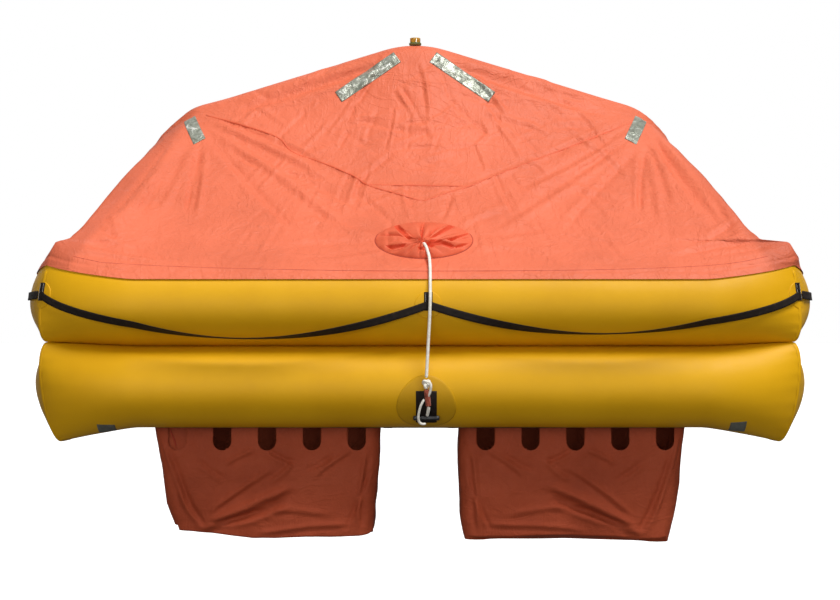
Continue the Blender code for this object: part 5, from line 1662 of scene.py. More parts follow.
def disc_patch(name, centre, out, radius, low, thick, material):
    """A round patch with a feathered rim."""
    spokes, steps = 72, 16
    turn = np.linspace(0, 2 * pi, spokes, endpoint=False)
    share = np.concatenate([np.linspace(0.04, 0.94, steps), [0.97, 1.0]])
    grid = np.stack([radius * share[:, None] * np.cos(turn), radius * share[:, None] * np.sin(turn)], axis=-1)
    points, normals = draped(grid, centre, out, low)
    rim = np.where(share > 0.99, 0.0002, np.where(share > 0.95, 0.8, 1.0))[:, None, None]
    top = points + normals * (low + thick * rim)
    base = points[-1:] + normals[-1:] * 0.0002
    rings = np.concatenate([top, base])
    obj = loft(name, rings, material)
    return obj


def tab_patch(name, centre, out, size, drop, low, thick, material, rows=24, cols=12):
    """A sewn tab: a rectangle with soft edges, given back with the top that its two rows of stitches are laid on."""
    across = np.linspace(-0.5, 0.5, cols) * size[0]
    up = np.linspace(0, 1, rows) * size[1] - drop
    grid = np.stack(np.meshgrid(across, up, indexing="xy"), axis=-1)
    points, normals = draped(grid, centre, out, low)
    edge = np.minimum(1, 6 * np.minimum(np.linspace(0, 1, cols), np.linspace(1, 0, cols)) + 0.35)[None, :, None]
    obj = closed_sheet(name, points + normals * low, points + normals * (low + thick * edge), material)
    return obj, points + normals * (low + thick), normals


def stitch_rows(name, top, normals, columns, pitch=0.0046, radius=0.0007, length=0.0030, thread="thread"):
    """Short stitches of pale thread along some columns of a draped grid, in one piece."""
    points, faces = [], []
    for col in columns:
        line = top[:, col]
        along = np.concatenate([[0], np.cumsum(np.linalg.norm(np.diff(line, axis=0), axis=1))])
        for s in np.arange(pitch, along[-1] - pitch, pitch):
            mid = np.array([np.interp(s, along, line[:, k]) for k in range(3)])
            end = np.array([np.interp(s + length, along, line[:, k]) for k in range(3)])
            normal = normals[len(normals) // 2, col]
            run = unit(end - mid)
            side = np.cross(run, normal)
            start = len(points)
            for step, size in ((0.0, 0.3), (0.3, 1.0), (0.7, 1.0), (1.0, 0.3)):
                for a in np.linspace(0, 2 * pi, 6, endpoint=False):
                    points.append(lerp(mid, end, step) + (side * cos(a) + normal * (sin(a) + 0.3)) * radius * size)
            for ring in range(3):
                for k in range(6):
                    a, b = start + ring * 6 + k, start + ring * 6 + (k + 1) % 6
                    faces.append((a, b, b + 6, a + 6))
            faces += [tuple(start + k for k in range(6)), tuple(start + 18 + k for k in reversed(range(6)))]
    mesh = bpy.data.meshes.new(name)
    mesh.from_pydata([tuple(p) for p in points], [], faces)
    obj = finish_mesh(name, mesh, thread)
    fix_normals(obj)
    return obj


def make_patches():
    diagonal = sqrt(0.5)
    spots = []
    for sx, side in ((-1, "left"), (1, "right")):
        for sy, end in ((-1, "front"), (1, "rear")):
            out = np.array((sx * diagonal, sy * diagonal, 0.0))
            base = np.array((sx * MITRE_X, sy * HALF_WIDTH, LIFELINE_Z)) + out * MITRE_OUT / diagonal
            spots.append((f"{end}_{side}", base, out))
        base = np.array((sx * REAR_PATCH_X, HALF_WIDTH + FLAT, LIFELINE_Z))
        spots.append((f"entrance_{side}", base, np.array((0.0, 1.0, 0.0))))
    spots.append(("front_middle", np.array((FRONT_PATCH_X, -HALF_WIDTH - FLAT, CENTRE_PATCH_Z)), np.array((0.0, -1.0, 0.0))))
    for word, base, out in spots:
        disc = disc_patch(f"patch_{word}_disc", base, out, PATCH_DISC, 0.0002, 0.0020, "tube_fabric")
        put(disc, "tube_fabric", f"patch_{word}")
        tab, top, normals = tab_patch(f"tab_{word}_web", base, out, (0.031, 0.066), 0.020, 0.0022, 0.0026, "webbing")
        put(tab, "webbing", f"tab_{word}")
        put(stitch_rows(f"tab_{word}_stitches", top, normals, (2, 9)), "webbing")


make_patches()


# Tow patch

TOW_X = 0.023
TOW_ANGLE = radians(24.6)
TOW_DISC = 0.109
TOW_PAD = (0.076, 0.132)
TOW_PAD_DROP = 0.072
TOW_BAR_ANGLE = radians(38)


def make_tow_patch():
    out = np.array((0.0, -cos(TOW_ANGLE), -sin(TOW_ANGLE)))
    base = np.array((TOW_X, -HALF_WIDTH, LOWER_Z)) + out * TUBE_R
    disc = disc_patch("tow_base_disc", base, out, TOW_DISC, 0.0002, 0.0022, "tow_fabric")
    put(disc, "tube_fabric", "tow_base")
    pad, top, normals = tab_patch("tow_pad_web", base, out, TOW_PAD, TOW_PAD_DROP, 0.0024, 0.0026, "webbing", 30, 20)
    put(pad, "webbing", "tow_pad")
    put(stitch_rows("tow_pad_stitches", top, normals, (2, 17), 0.006, thread="webbing"), "webbing")
    arm = TUBE_R + 0.006 + 0.0005 + 0.009
    bar_middle = np.array((TOW_X, -HALF_WIDTH - arm * cos(TOW_BAR_ANGLE), LOWER_Z - arm * sin(TOW_BAR_ANGLE)))
    profile = [(-0.048, 0.003), (-0.047, 0.0065), (-0.044, 0.0088), (-0.036, 0.009), (-0.033, 0.0072), (0.033, 0.0072),
               (0.036, 0.009), (0.044, 0.0088), (0.047, 0.0065), (0.048, 0.003)]
    put(turned("tow_bar_rod", profile, bar_middle, (1, 0, 0), "black_plastic", 28), "webbing", "tow_bar")


def turned(name, profile, centre, axis, material, sides=48):
    """A solid of revolution: profile holds (distance along the axis, radius)."""
    turn = Vector((0, 0, 1)).rotation_difference(Vector(axis)).to_matrix()
    rings = []
    for along, radius in profile:
        ring = [turn @ Vector((radius * cos(a), radius * sin(a), along)) for a in np.linspace(0, 2 * pi, sides, endpoint=False)]
        rings.append([np.array(centre) + np.array(p) for p in ring])
    obj = loft(name, rings, material)
    obj.data.set_sharp_from_angle(angle=radians(38))
    return obj


make_tow_patch()


# Grey wear patches under the front of the lower tube: middle and width along X, and angle below the level
WEAR_PATCHES = ((-1.152, 0.066, radians(71)), (1.167, 0.060, radians(66)))


def make_wear_patches():
    for number, (x, width, angle) in enumerate(WEAR_PATCHES, 1):
        out = np.array((0.0, -cos(angle), -sin(angle)))
        base = np.array((x, -HALF_WIDTH, LOWER_Z)) + out * TUBE_R
        patch, _, _ = tab_patch(f"wear_patch_{number}", base, out, (width, 0.062), 0.031, 0.0003, 0.0010, "grey_patch")
        put(patch, "tube_fabric")


make_wear_patches()


# Light on the ridge

def make_light():
    middle, _ = arch_at(ARCH_SHIFT)
    low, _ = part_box("light_base")
    seat = np.array((ARCH_SHIFT, 0.0, low[2]))
    base = [(0.0, 0.023), (0.0015, 0.0245), (0.006, 0.026), (0.009, 0.0255), (0.0115, 0.023), (0.012, 0.020)]
    put(turned("light_base_ring", base, seat, (0, 0, 1), "lamp_rim"), "black_plastic", "light_base")
    lens_low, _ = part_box("light_lens")
    lens_seat = np.array((ARCH_SHIFT, 0.0, lens_low[2]))
    lens = [(0.0, 0.0205)]
    for n in range(5):
        lens += [(0.0016 + 0.0026 * n, 0.0222), (0.0029 + 0.0026 * n, 0.0214)]
    lens += [(0.0162, 0.0220), (0.0182, 0.0212), (0.0196, 0.0180), (0.0204, 0.0100), (0.0206, 0.0012)]
    put(turned("light_lens_dome", lens, lens_seat, (0, 0, 1), "lamp_lens"), "lamp_lens", "light_lens")


make_light()


# Entrance: the rolled flap over it, its ties, and the binding round the opening

ROLL_R = 0.04
ROLL_HALF = 0.36
ROLL_Z = 1.238
ROLL_FALL = 0.30
ROLL_CLEAR = 0.002
ROLL_TURNS = 3.6
ROLL_TIES = (-0.24, 0.0, 0.24)
BINDING = 0.018


def roll_middle(x):
    """Middle of the rolled flap at a distance from the raft's middle, and the way out from the canopy."""
    z = ROLL_Z - ROLL_FALL * (sqrt(x * x + 0.02) - sqrt(0.02))
    hit, normal = first_hit(x + ARCH_SHIFT, z, 1)
    return hit, normal


def make_door_roll():
    stations = np.linspace(-ROLL_HALF + 0.004, ROLL_HALF - 0.004, 110)
    found = [roll_middle(x) for x in stations]
    hits, normals = (np.array([f[k] for f in found]) for k in (0, 1))
    kernel = np.ones(15) / 15
    padded_hits = np.concatenate([np.repeat(hits[:1], 7, 0), hits, np.repeat(hits[-1:], 7, 0)])
    padded_hits[:7] += (np.arange(-7, 0)[:, None]) * (hits[1] - hits[0])
    padded_hits[-7:] += (np.arange(1, 8)[:, None]) * (hits[-1] - hits[-2])
    hits = np.stack([np.convolve(padded_hits[:, k], kernel, "valid") for k in range(3)], axis=1)
    out = unit(normals.mean(0) * np.array((0.0, 1.0, 1.0)))
    share = (stations + ROLL_HALF) / (2 * ROLL_HALF)
    radius = (ROLL_R - 0.004) * (1 - 0.25 * np.abs(2 * share - 1) ** 4)
    line = hits + out * (ROLL_R + ROLL_CLEAR + 0.002)
    across = np.array((1.0, 0.0, 0.0))
    other = np.cross(across, out)
    turn = np.linspace(0, 2 * pi * ROLL_TURNS, 150)
    spiral = 0.22 + 0.78 * turn / turn[-1]
    tie = sum(np.exp(-((stations - at) / 0.022) ** 2) for at in ROLL_TIES)
    reach = radius[:, None] * spiral * (1 - 0.10 * tie[:, None])
    points = line[:, None] + reach[..., None] * (
        np.cos(turn - 1.2)[None, :, None] * out + np.sin(turn - 1.2)[None, :, None] * other)
    crumple = 0.0022 * value_noise(points, 16.0, 101) + 0.0030 * value_noise(points * np.array((0.35, 1, 1)), 30.0, 102)
    reach_in = points - line[:, None]
    points += reach_in / np.linalg.norm(reach_in, axis=2, keepdims=True) * (crumple * (spiral > 0.6) - 0.001)[..., None]
    roll = grid_mesh("door_flap_cloth", points, "canopy_fabric")
    put(roll, "canopy_fabric", "door_flap_roll")
    for number, at in enumerate(ROLL_TIES, 1):
        near = int(np.argmin(np.abs(stations - at)))
        ring_turn = np.linspace(0, 2 * pi, 40, endpoint=False)
        size = radius[near] * 0.90 + 0.0028
        rings = []
        for dx, dr in ((-0.0125, 0.0), (-0.0125, 0.0014), (0.0125, 0.0014), (0.0125, 0.0)):
            rings.append(line[near] + across * dx + (size + dr) * (
                np.cos(ring_turn)[:, None] * out + np.sin(ring_turn)[:, None] * other))
        band = grid_mesh(f"door_flap_tie_{number}", np.array(rings), "webbing", (True, True))
        fix_normals(band)
        put(band, "webbing")


def door_outline(count):
    """Points round the entrance from one sill corner over the top to the other."""
    centre = DOOR_TOP_Z - DOOR_ROUND
    sides = [(lerp(DOOR_HALF, DOOR_TOP_HALF, t), lerp(DOOR_SILL_Z, centre, t)) for t in np.linspace(0, 1, count)[:-1]]
    dome = [(DOOR_TOP_HALF * cos(a), centre + DOOR_ROUND * sin(a)) for a in np.linspace(0, pi, count)]
    return np.array(sides + dome + [(-x, z) for x, z in reversed(sides)])


def make_door_binding():
    line = door_outline(40)
    run = np.gradient(line, axis=0)
    run /= np.linalg.norm(run, axis=1, keepdims=True)
    away = np.stack([run[:, 1], -run[:, 0]], axis=1)
    points, normals = np.zeros((len(line), 5, 3)), np.zeros((len(line), 5, 3))
    for i, (at, side) in enumerate(zip(line, away)):
        for j, d in enumerate(np.linspace(0.0025, BINDING, 5)):
            spot = at + side * d
            points[i, j], normals[i, j] = first_hit(spot[0], max(spot[1], DOOR_SILL_Z - 0.01), 1)
    smooth = normals.mean((1,), keepdims=True)
    points += smooth * 0.0008
    strip = closed_sheet("door_edge_binding", points, points + smooth * 0.0018, "port_fabric")
    put(strip, "canopy_fabric")
    put(stitch_rows("door_edge_stitches", points + smooth * 0.0018, smooth.repeat(5, 1), (1, 3), 0.009, 0.0006, 0.006),
        "canopy_fabric")


make_door_roll()
make_door_binding()


# Boarding ladder of webbing

LADDER_HALF = 0.15
LADDER_WEB = 0.030
LADDER_THICK = 0.004
LADDER_Z = (-0.165, UPPER_Z + 0.012)
LADDER_RUNGS = (-0.165, -0.005, 0.150, 0.300, UPPER_Z + 0.012 - LADDER_WEB)
WEB_OUTLINE = ((-1, 0), (-0.985, -0.75), (-0.93, -1), (-0.5, -1), (0, -1), (0.5, -1), (0.93, -1), (0.985, -0.75), (1, 0),
               (0.985, 0.75), (0.93, 1), (0.5, 1), (0, 1), (-0.5, 1), (-0.93, 1), (-0.985, 0.75))


def flat_web(name, line, wide, face, width, thick, slot="webbing", material="webbing"):
    """A length of webbing along a line: wide and face are its two directions at each point."""
    rings = [[p + w * (i * width / 2) + f * (j * thick / 2) for i, j in WEB_OUTLINE] for p, w, f in zip(line, wide, face)]
    return loft(name, rings, material)


def make_ladder():
    y = HALF_WIDTH + FLAT + 0.0003 + LADDER_THICK / 2
    up, out, across = (np.array(v) for v in ((0.0, 0.0, 1.0), (0.0, 1.0, 0.0), (1.0, 0.0, 0.0)))
    first = True
    for word, sign in (("left", -1), ("right", 1)):
        zs = np.linspace(*LADDER_Z, 70)
        sway = 0.0022 * np.sin(9 * zs + sign) * smooth_step((0.1 - zs) / 0.2)
        line = np.array([(sign * (LADDER_HALF - LADDER_WEB / 2) + s, y, z) for z, s in zip(zs, sway)])
        web = flat_web(f"ladder_{word}_web", line, [across] * 70, [out] * 70, LADDER_WEB, LADDER_THICK * 0.7)
        if first:
            put(web, "webbing", "boarding_ladder")
            first = False
        else:
            put(web, "webbing")
    for number, low in enumerate(LADDER_RUNGS, 1):
        xs = np.linspace(-LADDER_HALF, LADDER_HALF, 60)
        droop = -0.004 * (1 - (xs / LADDER_HALF) ** 2) * (1 if 1 < number < 5 else 0.3)
        face = 0.0017 + 0.0 * xs
        line = np.array([(x, y + f, low + LADDER_WEB / 2 + d) for x, f, d in zip(xs, face, droop)])
        web = flat_web(f"ladder_rung_{number}", line, [up] * 60, [out] * 60, LADDER_WEB * 0.96, LADDER_THICK * 0.6)
        put(web, "webbing")
        for sign in (-1, 1):
            put(cross_stitch(f"ladder_stitch_{number}_{'left' if sign < 0 else 'right'}",
                             np.array((sign * (LADDER_HALF - LADDER_WEB / 2), y + 0.0030, low + LADDER_WEB / 2)),
                             across, up, out, 0.020), "webbing")


def cross_stitch(name, centre, across, up, out, size):
    """A square of stitches with a cross in it."""
    h = size / 2
    corners = [(-h, -h), (h, -h), (h, h), (-h, h)]
    runs = list(zip(corners, corners[1:] + corners[:1])) + [(corners[0], corners[2]), (corners[1], corners[3])]
    points, faces = [], []
    for (ax, ay), (bx, by) in runs:
        length = sqrt((bx - ax) ** 2 + (by - ay) ** 2)
        count = max(2, round(length / 0.0042))
        for n in range(count):
            a, b = (n + 0.15) / count, (n + 0.85) / count
            start = len(points)
            d = np.array((bx - ax, by - ay)) / length
            for step, size_here in ((a, 0.3), (lerp(a, b, 0.3), 1.0), (lerp(a, b, 0.7), 1.0), (b, 0.3)):
                px, py = lerp(ax, bx, step), lerp(ay, by, step)
                for t in np.linspace(0, 2 * pi, 5, endpoint=False):
                    r = 0.0006 * size_here
                    side = (across * -d[1] + up * d[0]) * cos(t) + out * sin(t)
                    points.append(centre + across * px + up * py + side * r)
            for ring in range(3):
                for k in range(5):
                    p, q = start + ring * 5 + k, start + ring * 5 + (k + 1) % 5
                    faces.append((p, q, q + 5, p + 5))
            faces += [tuple(start + k for k in range(5)), tuple(start + 15 + k for k in reversed(range(5)))]
    mesh = bpy.data.meshes.new(name)
    mesh.from_pydata([tuple(p) for p in points], [], faces)
    obj = finish_mesh(name, mesh, "thread")
    fix_normals(obj)
    return obj


make_ladder()


# Floor: a stretched sheet below, and a ribbed inflated mattress on it

FLOOR_HALF_SIZE = (1.336, 0.8395)
FLOOR_CUT = (0.95, 0.44)
FLOOR_LEVEL = -0.0323
MATTRESS_HALF = (1.187, 0.7045)
MATTRESS_THICK = 0.055
MATTRESS_CORNER = 0.06
MATTRESS_RIB = 0.158


def make_floor_cloth():
    u, y = np.meshgrid(np.linspace(-1, 1, 100), np.linspace(-FLOOR_HALF_SIZE[1], FLOOR_HALF_SIZE[1], 50), indexing="ij")
    cut = np.clip((np.abs(y) - FLOOR_CUT[1]) / (FLOOR_HALF_SIZE[1] - FLOOR_CUT[1]), 0, 1)
    x = u * lerp(FLOOR_HALF_SIZE[0], FLOOR_CUT[0], cut)
    points = np.stack([x, y, np.full_like(x, FLOOR_LEVEL)], axis=-1)
    wrinkle = 0.0010 * value_noise(points, 5.0, 111) + 0.0009 * value_noise(points * np.array((1.0, 0.3, 1.0)), 22.0, 112)
    points[..., 2] += np.clip(wrinkle, -0.0018, 0.0018)
    up = np.array((0.0, 0.0, 0.0006))
    cloth = closed_sheet("floor_cloth", points - up, points + up, "floor_fabric")
    put(cloth, "floor_fabric", "floor_sheet")


def make_mattress():
    """Air-filled ribs run across the floor, drawn in by the seams between them."""
    x, y = np.meshgrid(np.linspace(-1, 1, 180), np.linspace(-1, 1, 56), indexing="ij")
    px, py = x * MATTRESS_HALF[0], y * MATTRESS_HALF[1]
    r = MATTRESS_CORNER
    cx = np.maximum(np.abs(px) - (MATTRESS_HALF[0] - r), 0)
    cy = np.maximum(np.abs(py) - (MATTRESS_HALF[1] - r), 0)
    big = np.maximum(cx, cy)
    size = np.maximum(np.sqrt(cx**2 + cy**2), 1e-9)
    fit = np.where(big > 0, big / size, 1.0)
    px = np.where(big > 0, np.sign(px) * (np.abs(px) - cx + cx * fit), px)
    py = np.where(big > 0, np.sign(py) * (np.abs(py) - cy + cy * fit), py)
    edge = np.minimum.reduce([MATTRESS_HALF[0] - np.abs(x * MATTRESS_HALF[0]), MATTRESS_HALF[1] - np.abs(y * MATTRESS_HALF[1])])
    rim = np.clip(edge / 0.026, 0, 1)
    round_off = np.sqrt(1 - (1 - rim) ** 2)
    rib = np.abs(np.sin(pi * (px + MATTRESS_HALF[0]) / MATTRESS_RIB)) ** 0.45
    rib = lerp(1.0, rib, smooth_step((edge - 0.012) / 0.05))
    half = MATTRESS_THICK / 2
    middle = -0.029 + half
    grid = np.stack([px, py, np.zeros_like(px)], axis=-1)
    quilt = 0.0012 * value_noise(grid, 26.0, 121)
    top, low = grid.copy(), grid.copy()
    top[..., 2] = middle + (half - 0.0012) * round_off * (0.62 + 0.38 * rib) + np.minimum(quilt, 0.001) * rim
    low[..., 2] = middle - (half - 0.0006) * round_off
    mattress = closed_sheet("floor_mattress_pad", low, top, "floor_fabric")
    put(mattress, "floor_fabric", "floor_mattress")


make_floor_cloth()
make_mattress()


# Equipment bag, tied down on the floor inside

BAG_X = (-1.13, -0.88)
BAG_HALF_Y = 0.28
BAG_Z = (0.0263, 0.2463)
BAG_VOXEL = 0.007
BAG_FRAMES = 14
BAG_CAP = 0.016


def make_bag():
    low = np.array((BAG_X[0], -BAG_HALF_Y, BAG_Z[0]))
    high = np.array((BAG_X[1], BAG_HALF_Y, BAG_Z[1]))
    inset = np.array((0.016, 0.016, 0.0))
    middle, half = (low + high) / 2, (high - low) / 2 - inset
    half[2] -= 0.009
    middle[2] -= 0.008
    work = bmesh.new()
    bmesh.ops.create_cube(work, size=2.0)
    for vert in work.verts:
        vert.co = Vector(middle + np.array(vert.co) * half)
    bmesh.ops.bevel(work, geom=work.edges, offset=0.034, segments=5, affect="EDGES", profile=0.6)
    mesh = bpy.data.meshes.new("equipment_bag_cloth")
    work.to_mesh(mesh)
    work.free()
    bag = finish_mesh("equipment_bag_cloth", mesh, "bag_fabric")
    remesh = bag.modifiers.new("remesh", "REMESH")
    remesh.mode = "VOXEL"
    remesh.voxel_size = BAG_VOXEL
    apply_modifiers(bag)
    inflate(bag)
    settle_bag(bag)
    put(bag, "bag_fabric", "equipment_bag")
    make_bag_straps(middle, high)


def apply_modifiers(obj):
    depsgraph = bpy.context.evaluated_depsgraph_get()
    made = bpy.data.meshes.new_from_object(obj.evaluated_get(depsgraph))
    obj.modifiers.clear()
    old = obj.data
    obj.data = made
    bpy.data.meshes.remove(old)


def inflate(obj):
    """Cloth simulation with a little pressure inside, kept within a cap of its first shape."""
    first = np.array([v.co for v in obj.data.vertices])
    cloth = obj.modifiers.new("cloth", "CLOTH")
    cloth.settings.use_pressure = True
    cloth.settings.uniform_pressure_force = 4.0
    cloth.settings.effector_weights.gravity = 0.0
    cloth.settings.quality = 6
    cloth.settings.tension_stiffness = 12
    cloth.settings.bending_stiffness = 1.2
    scene = bpy.context.scene
    scene.frame_start = 1
    scene.frame_end = BAG_FRAMES
    for number in range(1, BAG_FRAMES + 1):
        scene.frame_set(number)
    apply_modifiers(obj)
    scene.frame_set(1)
    after = np.array([v.co for v in obj.data.vertices])
    move = after - first
    far = np.linalg.norm(move, axis=1, keepdims=True)
    after = first + move * np.minimum(1.0, BAG_CAP / np.maximum(far, 1e-9))
    obj.data.vertices.foreach_set("co", after.astype(np.float32).ravel())


def settle_bag(obj):
    """Creases round the bag, a flat rest on the floor, and its limits."""
    points = np.array([v.co for v in obj.data.vertices])
    normal = np.array([v.normal for v in obj.data.vertices])
    crease = 0.0040 * value_noise(points * np.array((1, 0.5, 1.6)), 14.0, 131) + 0.0020 * value_noise(points, 34.0, 132)
    seam = -0.004 * np.exp(-((points[:, 2] - (BAG_Z[1] - 0.035)) / 0.004) ** 2)
    points += normal * (crease + seam)[:, None]
    low = np.array((BAG_X[0] + 0.001, -BAG_HALF_Y + 0.001, BAG_Z[0]))
    high = np.array((BAG_X[1] - 0.001, BAG_HALF_Y - 0.001, BAG_Z[1] - 0.004))
    points = np.clip(points, low, high)
    obj.data.vertices.foreach_set("co", points.astype(np.float32).ravel())
    obj.data.update()
    obj.data.shade_smooth()


def make_bag_straps(middle, high):
    """Two lashing straps over the bag, each laid on its cloth."""
    skin = surface(bpy.data.objects["equipment_bag_cloth"])
    for word, y in (("front", -0.15), ("rear", 0.15)):
        line = []
        for a in np.linspace(-0.08 * pi, 1.08 * pi, 60):
            way = np.array((cos(a), 0.0, sin(a)))
            start = Vector((middle[0], y, middle[2] - 0.04)) + Vector(way) * 0.5
            hit, _, _, _ = skin.ray_cast(start, Vector(-way))
            line.append(np.array(hit) + way * 0.0016)
        line = spaced(np.array(line), 0.006)
        run = np.gradient(line, axis=0)
        run /= np.linalg.norm(run, axis=1, keepdims=True)
        wide = np.array([(0.0, 1.0, 0.0)] * len(line))
        face = np.cross(run, wide)
        put(flat_web(f"bag_{word}_strap", line, wide, face, 0.025, 0.0018), "webbing")


make_bag()


# Under the floor: the gas bottle, its straps and the righting straps

UNDER = FLOOR_LEVEL - 0.0033
BOTTLE_R = 0.06
BOTTLE_Y = 0.30
BOTTLE_Z = UNDER - BOTTLE_R - 0.0003
BOTTLE_STRAP_X = 0.14
BOTTLE_STRAP_WIDE = 0.04
BOTTLE_STRAP_FLARE = 0.035
STRAP_THICK = 0.003
RIGHTING_STRAP_X = 0.42
RIGHTING_STRAP_HALF = (0.025, 0.47)


def make_bottle():
    profile = [(-0.28 + 0.03 * (1 - cos(a)), 0.02 + (BOTTLE_R - 0.0205) * sin(a)) for a in np.linspace(0.0, pi / 2, 12)]
    profile += [(-0.05, BOTTLE_R - 0.0003), (0.15, BOTTLE_R - 0.0003)]
    profile += [(0.25 + 0.034 * sin(a), 0.026 + (BOTTLE_R - 0.0263) * cos(a)) for a in np.linspace(0, pi / 2, 12)]
    profile += [(0.287, 0.0245), (0.292, 0.0245), (0.294, 0.021), (0.300, 0.021)]
    centre = (0.0, BOTTLE_Y, BOTTLE_Z)
    put(turned("gas_bottle_body", profile, centre, (1, 0, 0), "gas_bottle", 64), "gas_bottle", "gas_bottle")
    head = [(0.300, 0.019), (0.302, 0.024), (0.318, 0.0245), (0.320, 0.021), (0.326, 0.021), (0.328, 0.0235),
            (0.346, 0.0235), (0.350, 0.020)]
    put(turned("gas_bottle_head", head, centre, (1, 0, 0), "brass", 12), "gas_bottle")


def make_bottle_straps():
    for word, x in (("left", -BOTTLE_STRAP_X), ("right", BOTTLE_STRAP_X)):
        r = BOTTLE_R + STRAP_THICK / 2 + 0.0004
        top = UNDER - STRAP_THICK / 2 - 0.0002
        line = [(x, BOTTLE_Y - r - BOTTLE_STRAP_FLARE * s, top) for s in np.linspace(1, 0.15, 10)]
        line += [(x, BOTTLE_Y - r, z) for z in np.linspace(top - 0.004, BOTTLE_Z, 10)]
        line += [(x, BOTTLE_Y - r * cos(a), BOTTLE_Z - r * sin(a)) for a in np.linspace(0.05, pi - 0.05, 60)]
        line += [(x, BOTTLE_Y + r, z) for z in np.linspace(BOTTLE_Z, top - 0.004, 10)]
        line += [(x, BOTTLE_Y + r + BOTTLE_STRAP_FLARE * s, top) for s in np.linspace(0.15, 1, 10)]
        line = spaced(np.array(line), 0.005)
        run = np.gradient(line, axis=0)
        run /= np.linalg.norm(run, axis=1, keepdims=True)
        wide = np.array([(1.0, 0.0, 0.0)] * len(line))
        face = np.cross(wide, run)
        web = flat_web(f"bottle_{word}_web", line, wide, face, BOTTLE_STRAP_WIDE - 0.001, STRAP_THICK * 0.8)
        put(web, "webbing", f"bottle_strap_{word}")


def make_righting_straps():
    for word, x in (("left", -RIGHTING_STRAP_X), ("right", RIGHTING_STRAP_X)):
        ys = np.linspace(-RIGHTING_STRAP_HALF[1], RIGHTING_STRAP_HALF[1], 90)
        z = UNDER - STRAP_THICK / 2 - 0.0002 - 0.0006 * (1 + np.sin(21 * ys))
        line = np.array([(x, y, h) for y, h in zip(ys, z)])
        wide, face = np.array([(1.0, 0.0, 0.0)] * 90), np.array([(0.0, 0.0, -1.0)] * 90)
        web = flat_web(f"righting_{word}_web", line, wide, face, 2 * RIGHTING_STRAP_HALF[0] - 0.001, STRAP_THICK * 0.6)
        put(web, "webbing", f"righting_strap_{word}")
        for end, y in (("front", -RIGHTING_STRAP_HALF[1] + 0.03), ("middle", 0.0), ("rear", RIGHTING_STRAP_HALF[1] - 0.03)):
            put(cross_stitch(f"righting_{word}_{end}_stitch", np.array((x, y, UNDER - 0.0052)), wide[0],
                             np.array((0.0, 1.0, 0.0)), face[0], 0.036), "webbing")


make_bottle()
make_bottle_straps()
make_righting_straps()


# Topping-up valves on the ends of the lower tube

VALVE_Y = 0.34
VALVE_PROFILE = (
    (0.0, 0.0290), (0.0012, 0.0300), (0.0050, 0.0300), (0.0062, 0.0288), (0.0066, 0.0240), (0.0072, 0.0230),
    (0.0076, 0.0238), (0.0150, 0.0226), (0.0160, 0.0214), (0.0164, 0.0120), (0.0180, 0.0112), (0.0180, 0.0060),
    (0.0166, 0.0050),
)
VALVE_RIBS = 28


def make_valves():
    for word, sign in (("left", -1), ("right", 1)):
        centre = np.array((sign * (HALF_LENGTH + FLAT + 0.0003), VALVE_Y, LOWER_Z))
        turn = np.linspace(0, 2 * pi, VALVE_RIBS * 4, endpoint=False)
        rings = []
        for along, radius in VALVE_PROFILE:
            grip = 0.0005 * np.cos(VALVE_RIBS * turn) if 0.0065 < along < 0.0155 and radius > 0.02 else 0.0
            r = radius - 0.0005 + grip
            rings.append(centre + np.stack([sign * along + 0 * turn, r * np.cos(turn), r * np.sin(turn)], axis=1))
        put(loft(f"valve_{word}_cap", rings, "black_plastic"), "black_plastic", f"relief_valve_{word}")


make_valves()


# Tapes over the mitred seams of the tubes

SEAM_TAPE_HALF = 0.013


SEAM_SUNK = 0.006
CANOPY_HEM_Z = 0.545


def make_seam_tapes():
    turn = np.linspace(0, 2 * pi, 120, endpoint=False)
    for tube in ("lower", "upper"):
        around = ring_stations(tube, 0.0125, 0.4)
        count = len(around)
        for n, (middle, out, along, half, a) in enumerate(around):
            if abs(half - abs(a)) > 1e-6:
                continue
            rings = []
            for k in (-1, 0, 1):
                rings.append(tube_points(tube, around[(n + k) % count], turn, SMOOTH_R - 0.0002))
            low, centre, high = rings
            low = centre + (low - centre) * SEAM_TAPE_HALF / 0.0125
            high = centre + (high - centre) * SEAM_TAPE_HALF / 0.0125
            middle_ring = centre.mean(0)
            away = centre - middle_ring
            away /= np.linalg.norm(away, axis=1, keepdims=True)
            if tube == "upper":
                sunk = away * (SEAM_SUNK * smooth_step((centre[:, 2] - CANOPY_HEM_Z) / 0.02))[:, None]
                low, centre, high = low - sunk, centre - sunk, high - sunk
            grid = np.stack([low, lerp(low, centre, 0.1) + away * 0.0009, centre + away * 0.0006,
                             lerp(high, centre, 0.1) + away * 0.0009, high], axis=0)
            corner = f"{'right' if centre[:, 0].mean() > 0 else 'left'}_{'rear' if centre[:, 1].mean() > 0 else 'front'}"
            name = f"seam_tape_{tube}_{corner}"
            if name not in bpy.data.objects:
                tape = grid_mesh(name, grid, "tube_fabric", (False, True))
                fix_normals(tape)
                put(tape, "tube_fabric")


make_seam_tapes()


# Sewn seams of the canopy's front, as thin raised strips

SEAM_LINES = (
    ((206, 115), (240, 124.5), (277, 137), (293, 152), (326, 164), (354, 176), (368, 185), (395, 193), (423, 201)),
    ((634, 122), (610, 131), (562.6, 149.6), (514.8, 167.7), (467, 187), (444, 194), (423, 201)),
    ((366, 184.4), (395, 185), (430, 185.4), (472, 186.4)),
)
HEM_STITCH = ((72, 256), (90, 260), (110, 263), (180, 266.6), (260, 269), (340, 270.4), (420, 271), (500, 270.8), (580, 270),
              (640, 268.6), (700, 266), (740, 262), (773, 255))
SEAM_WIDE = 0.0085
SEAM_TALL = 0.0022


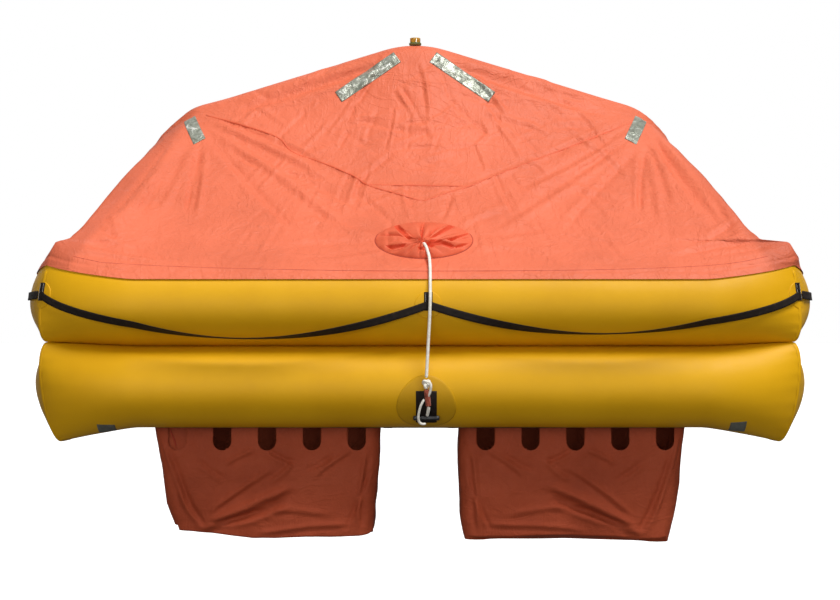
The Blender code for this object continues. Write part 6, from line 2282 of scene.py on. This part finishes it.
canopy_strip("canopy_hem_stitch", HEM_STITCH, 0.0030, 0.0012, "seam_fabric")
for seam_number, seam in enumerate(SEAM_LINES, 1):
    canopy_strip(f"canopy_seam_{seam_number}", seam, SEAM_WIDE, SEAM_TALL, "port_fabric")


# Camera, light and floor

SUNS = (
    # name, way it shines, strength, spread
    ("key", (-0.32, 0.34, -0.885), 3.0, radians(24)),
    ("front_fill", (0.10, 0.99, -0.06), 1.35, radians(50)),
    ("rear_fill", (0.05, -0.93, -0.36), 0.55, radians(70)),
)
# The studio's walls, from the floor's side to the ceiling's
WORLD_TONES = ((0.20, 0.10), (0.50, 0.15), (0.62, 0.18), (0.95, 0.20))


def make_world():
    """A white room that the camera sees as white and that lights the raft softly, most of all from above."""
    world = bpy.data.worlds.new("studio")
    world.use_nodes = True
    tree = world.node_tree
    shader = tree.nodes["Background"]
    way = tree.nodes.new("ShaderNodeTexCoord").outputs["Generated"]
    height = add(tree, "ShaderNodeSeparateXYZ", [("Vector", way)]).outputs["Z"]
    share = math(tree, "ADD", math(tree, "MULTIPLY", height, 0.5), 0.5)
    room = ramp(tree, share, [(at, (tone, tone, tone)) for at, tone in WORLD_TONES])
    seen = tree.nodes.new("ShaderNodeLightPath").outputs["Is Camera Ray"]
    tree.links.new(mix(tree, seen, room, (1.0, 1.0, 1.0)), shader.inputs["Color"])
    bpy.context.scene.world = world


def make_stage():
    camera = bpy.data.objects.new("camera", bpy.data.cameras.new("camera"))
    bpy.context.scene.collection.objects.link(camera)
    camera.location = VIEW_FROM
    camera.rotation_euler = (pi / 2 - PITCH, 0, 0)
    camera.data.sensor_width = SENSOR
    camera.data.lens = SENSOR * FOCAL_PIXELS / PICTURE_WIDTH
    camera.data.clip_end = 200
    bpy.context.scene.camera = camera
    make_floor_sheet()
    for name, way, strength, spread in SUNS:
        sun = bpy.data.objects.new(name, bpy.data.lights.new(name, "SUN"))
        sun.data.energy = strength
        sun.data.angle = spread
        sun.rotation_euler = Vector(way).to_track_quat("-Z", "Y").to_euler()
        bpy.context.scene.collection.objects.link(sun)
    make_world()
    bpy.context.scene.view_settings.view_transform = "Standard"


FLOOR_HALF = 30.0


def make_floor_sheet():
    mesh = bpy.data.meshes.new("floor")
    h = FLOOR_HALF
    mesh.from_pydata([(-h, -h, FLOOR_Z), (h, -h, FLOOR_Z), (h, h, FLOOR_Z), (-h, h, FLOOR_Z)], [], [(0, 1, 2, 3)])
    floor = bpy.data.objects.new("floor", mesh)
    bpy.context.scene.collection.objects.link(floor)
    made, tree, shader = tree_of("floor")
    shader.inputs["Base Color"].default_value = (0.92, 0.92, 0.92, 1.0)
    shader.inputs["Roughness"].default_value = 0.9
    shader.inputs["Specular IOR Level"].default_value = 0.1
    shader.inputs["Emission Color"].default_value = (1.0, 1.0, 1.0, 1.0)
    shader.inputs["Emission Strength"].default_value = 0.35
    mesh.materials.append(made)
    floor.visible_diffuse = False
    floor.visible_glossy = False


make_stage()

for node in NODES.values():
    if not node.hide_render:
        names = [m.name.split(".")[0] for m in node.data.materials if m]
        wanted = names[0] if names and names[0] in MATERIALS else "webbing"
        node.data.materials.clear()
        node.data.materials.append(MATERIALS[wanted])
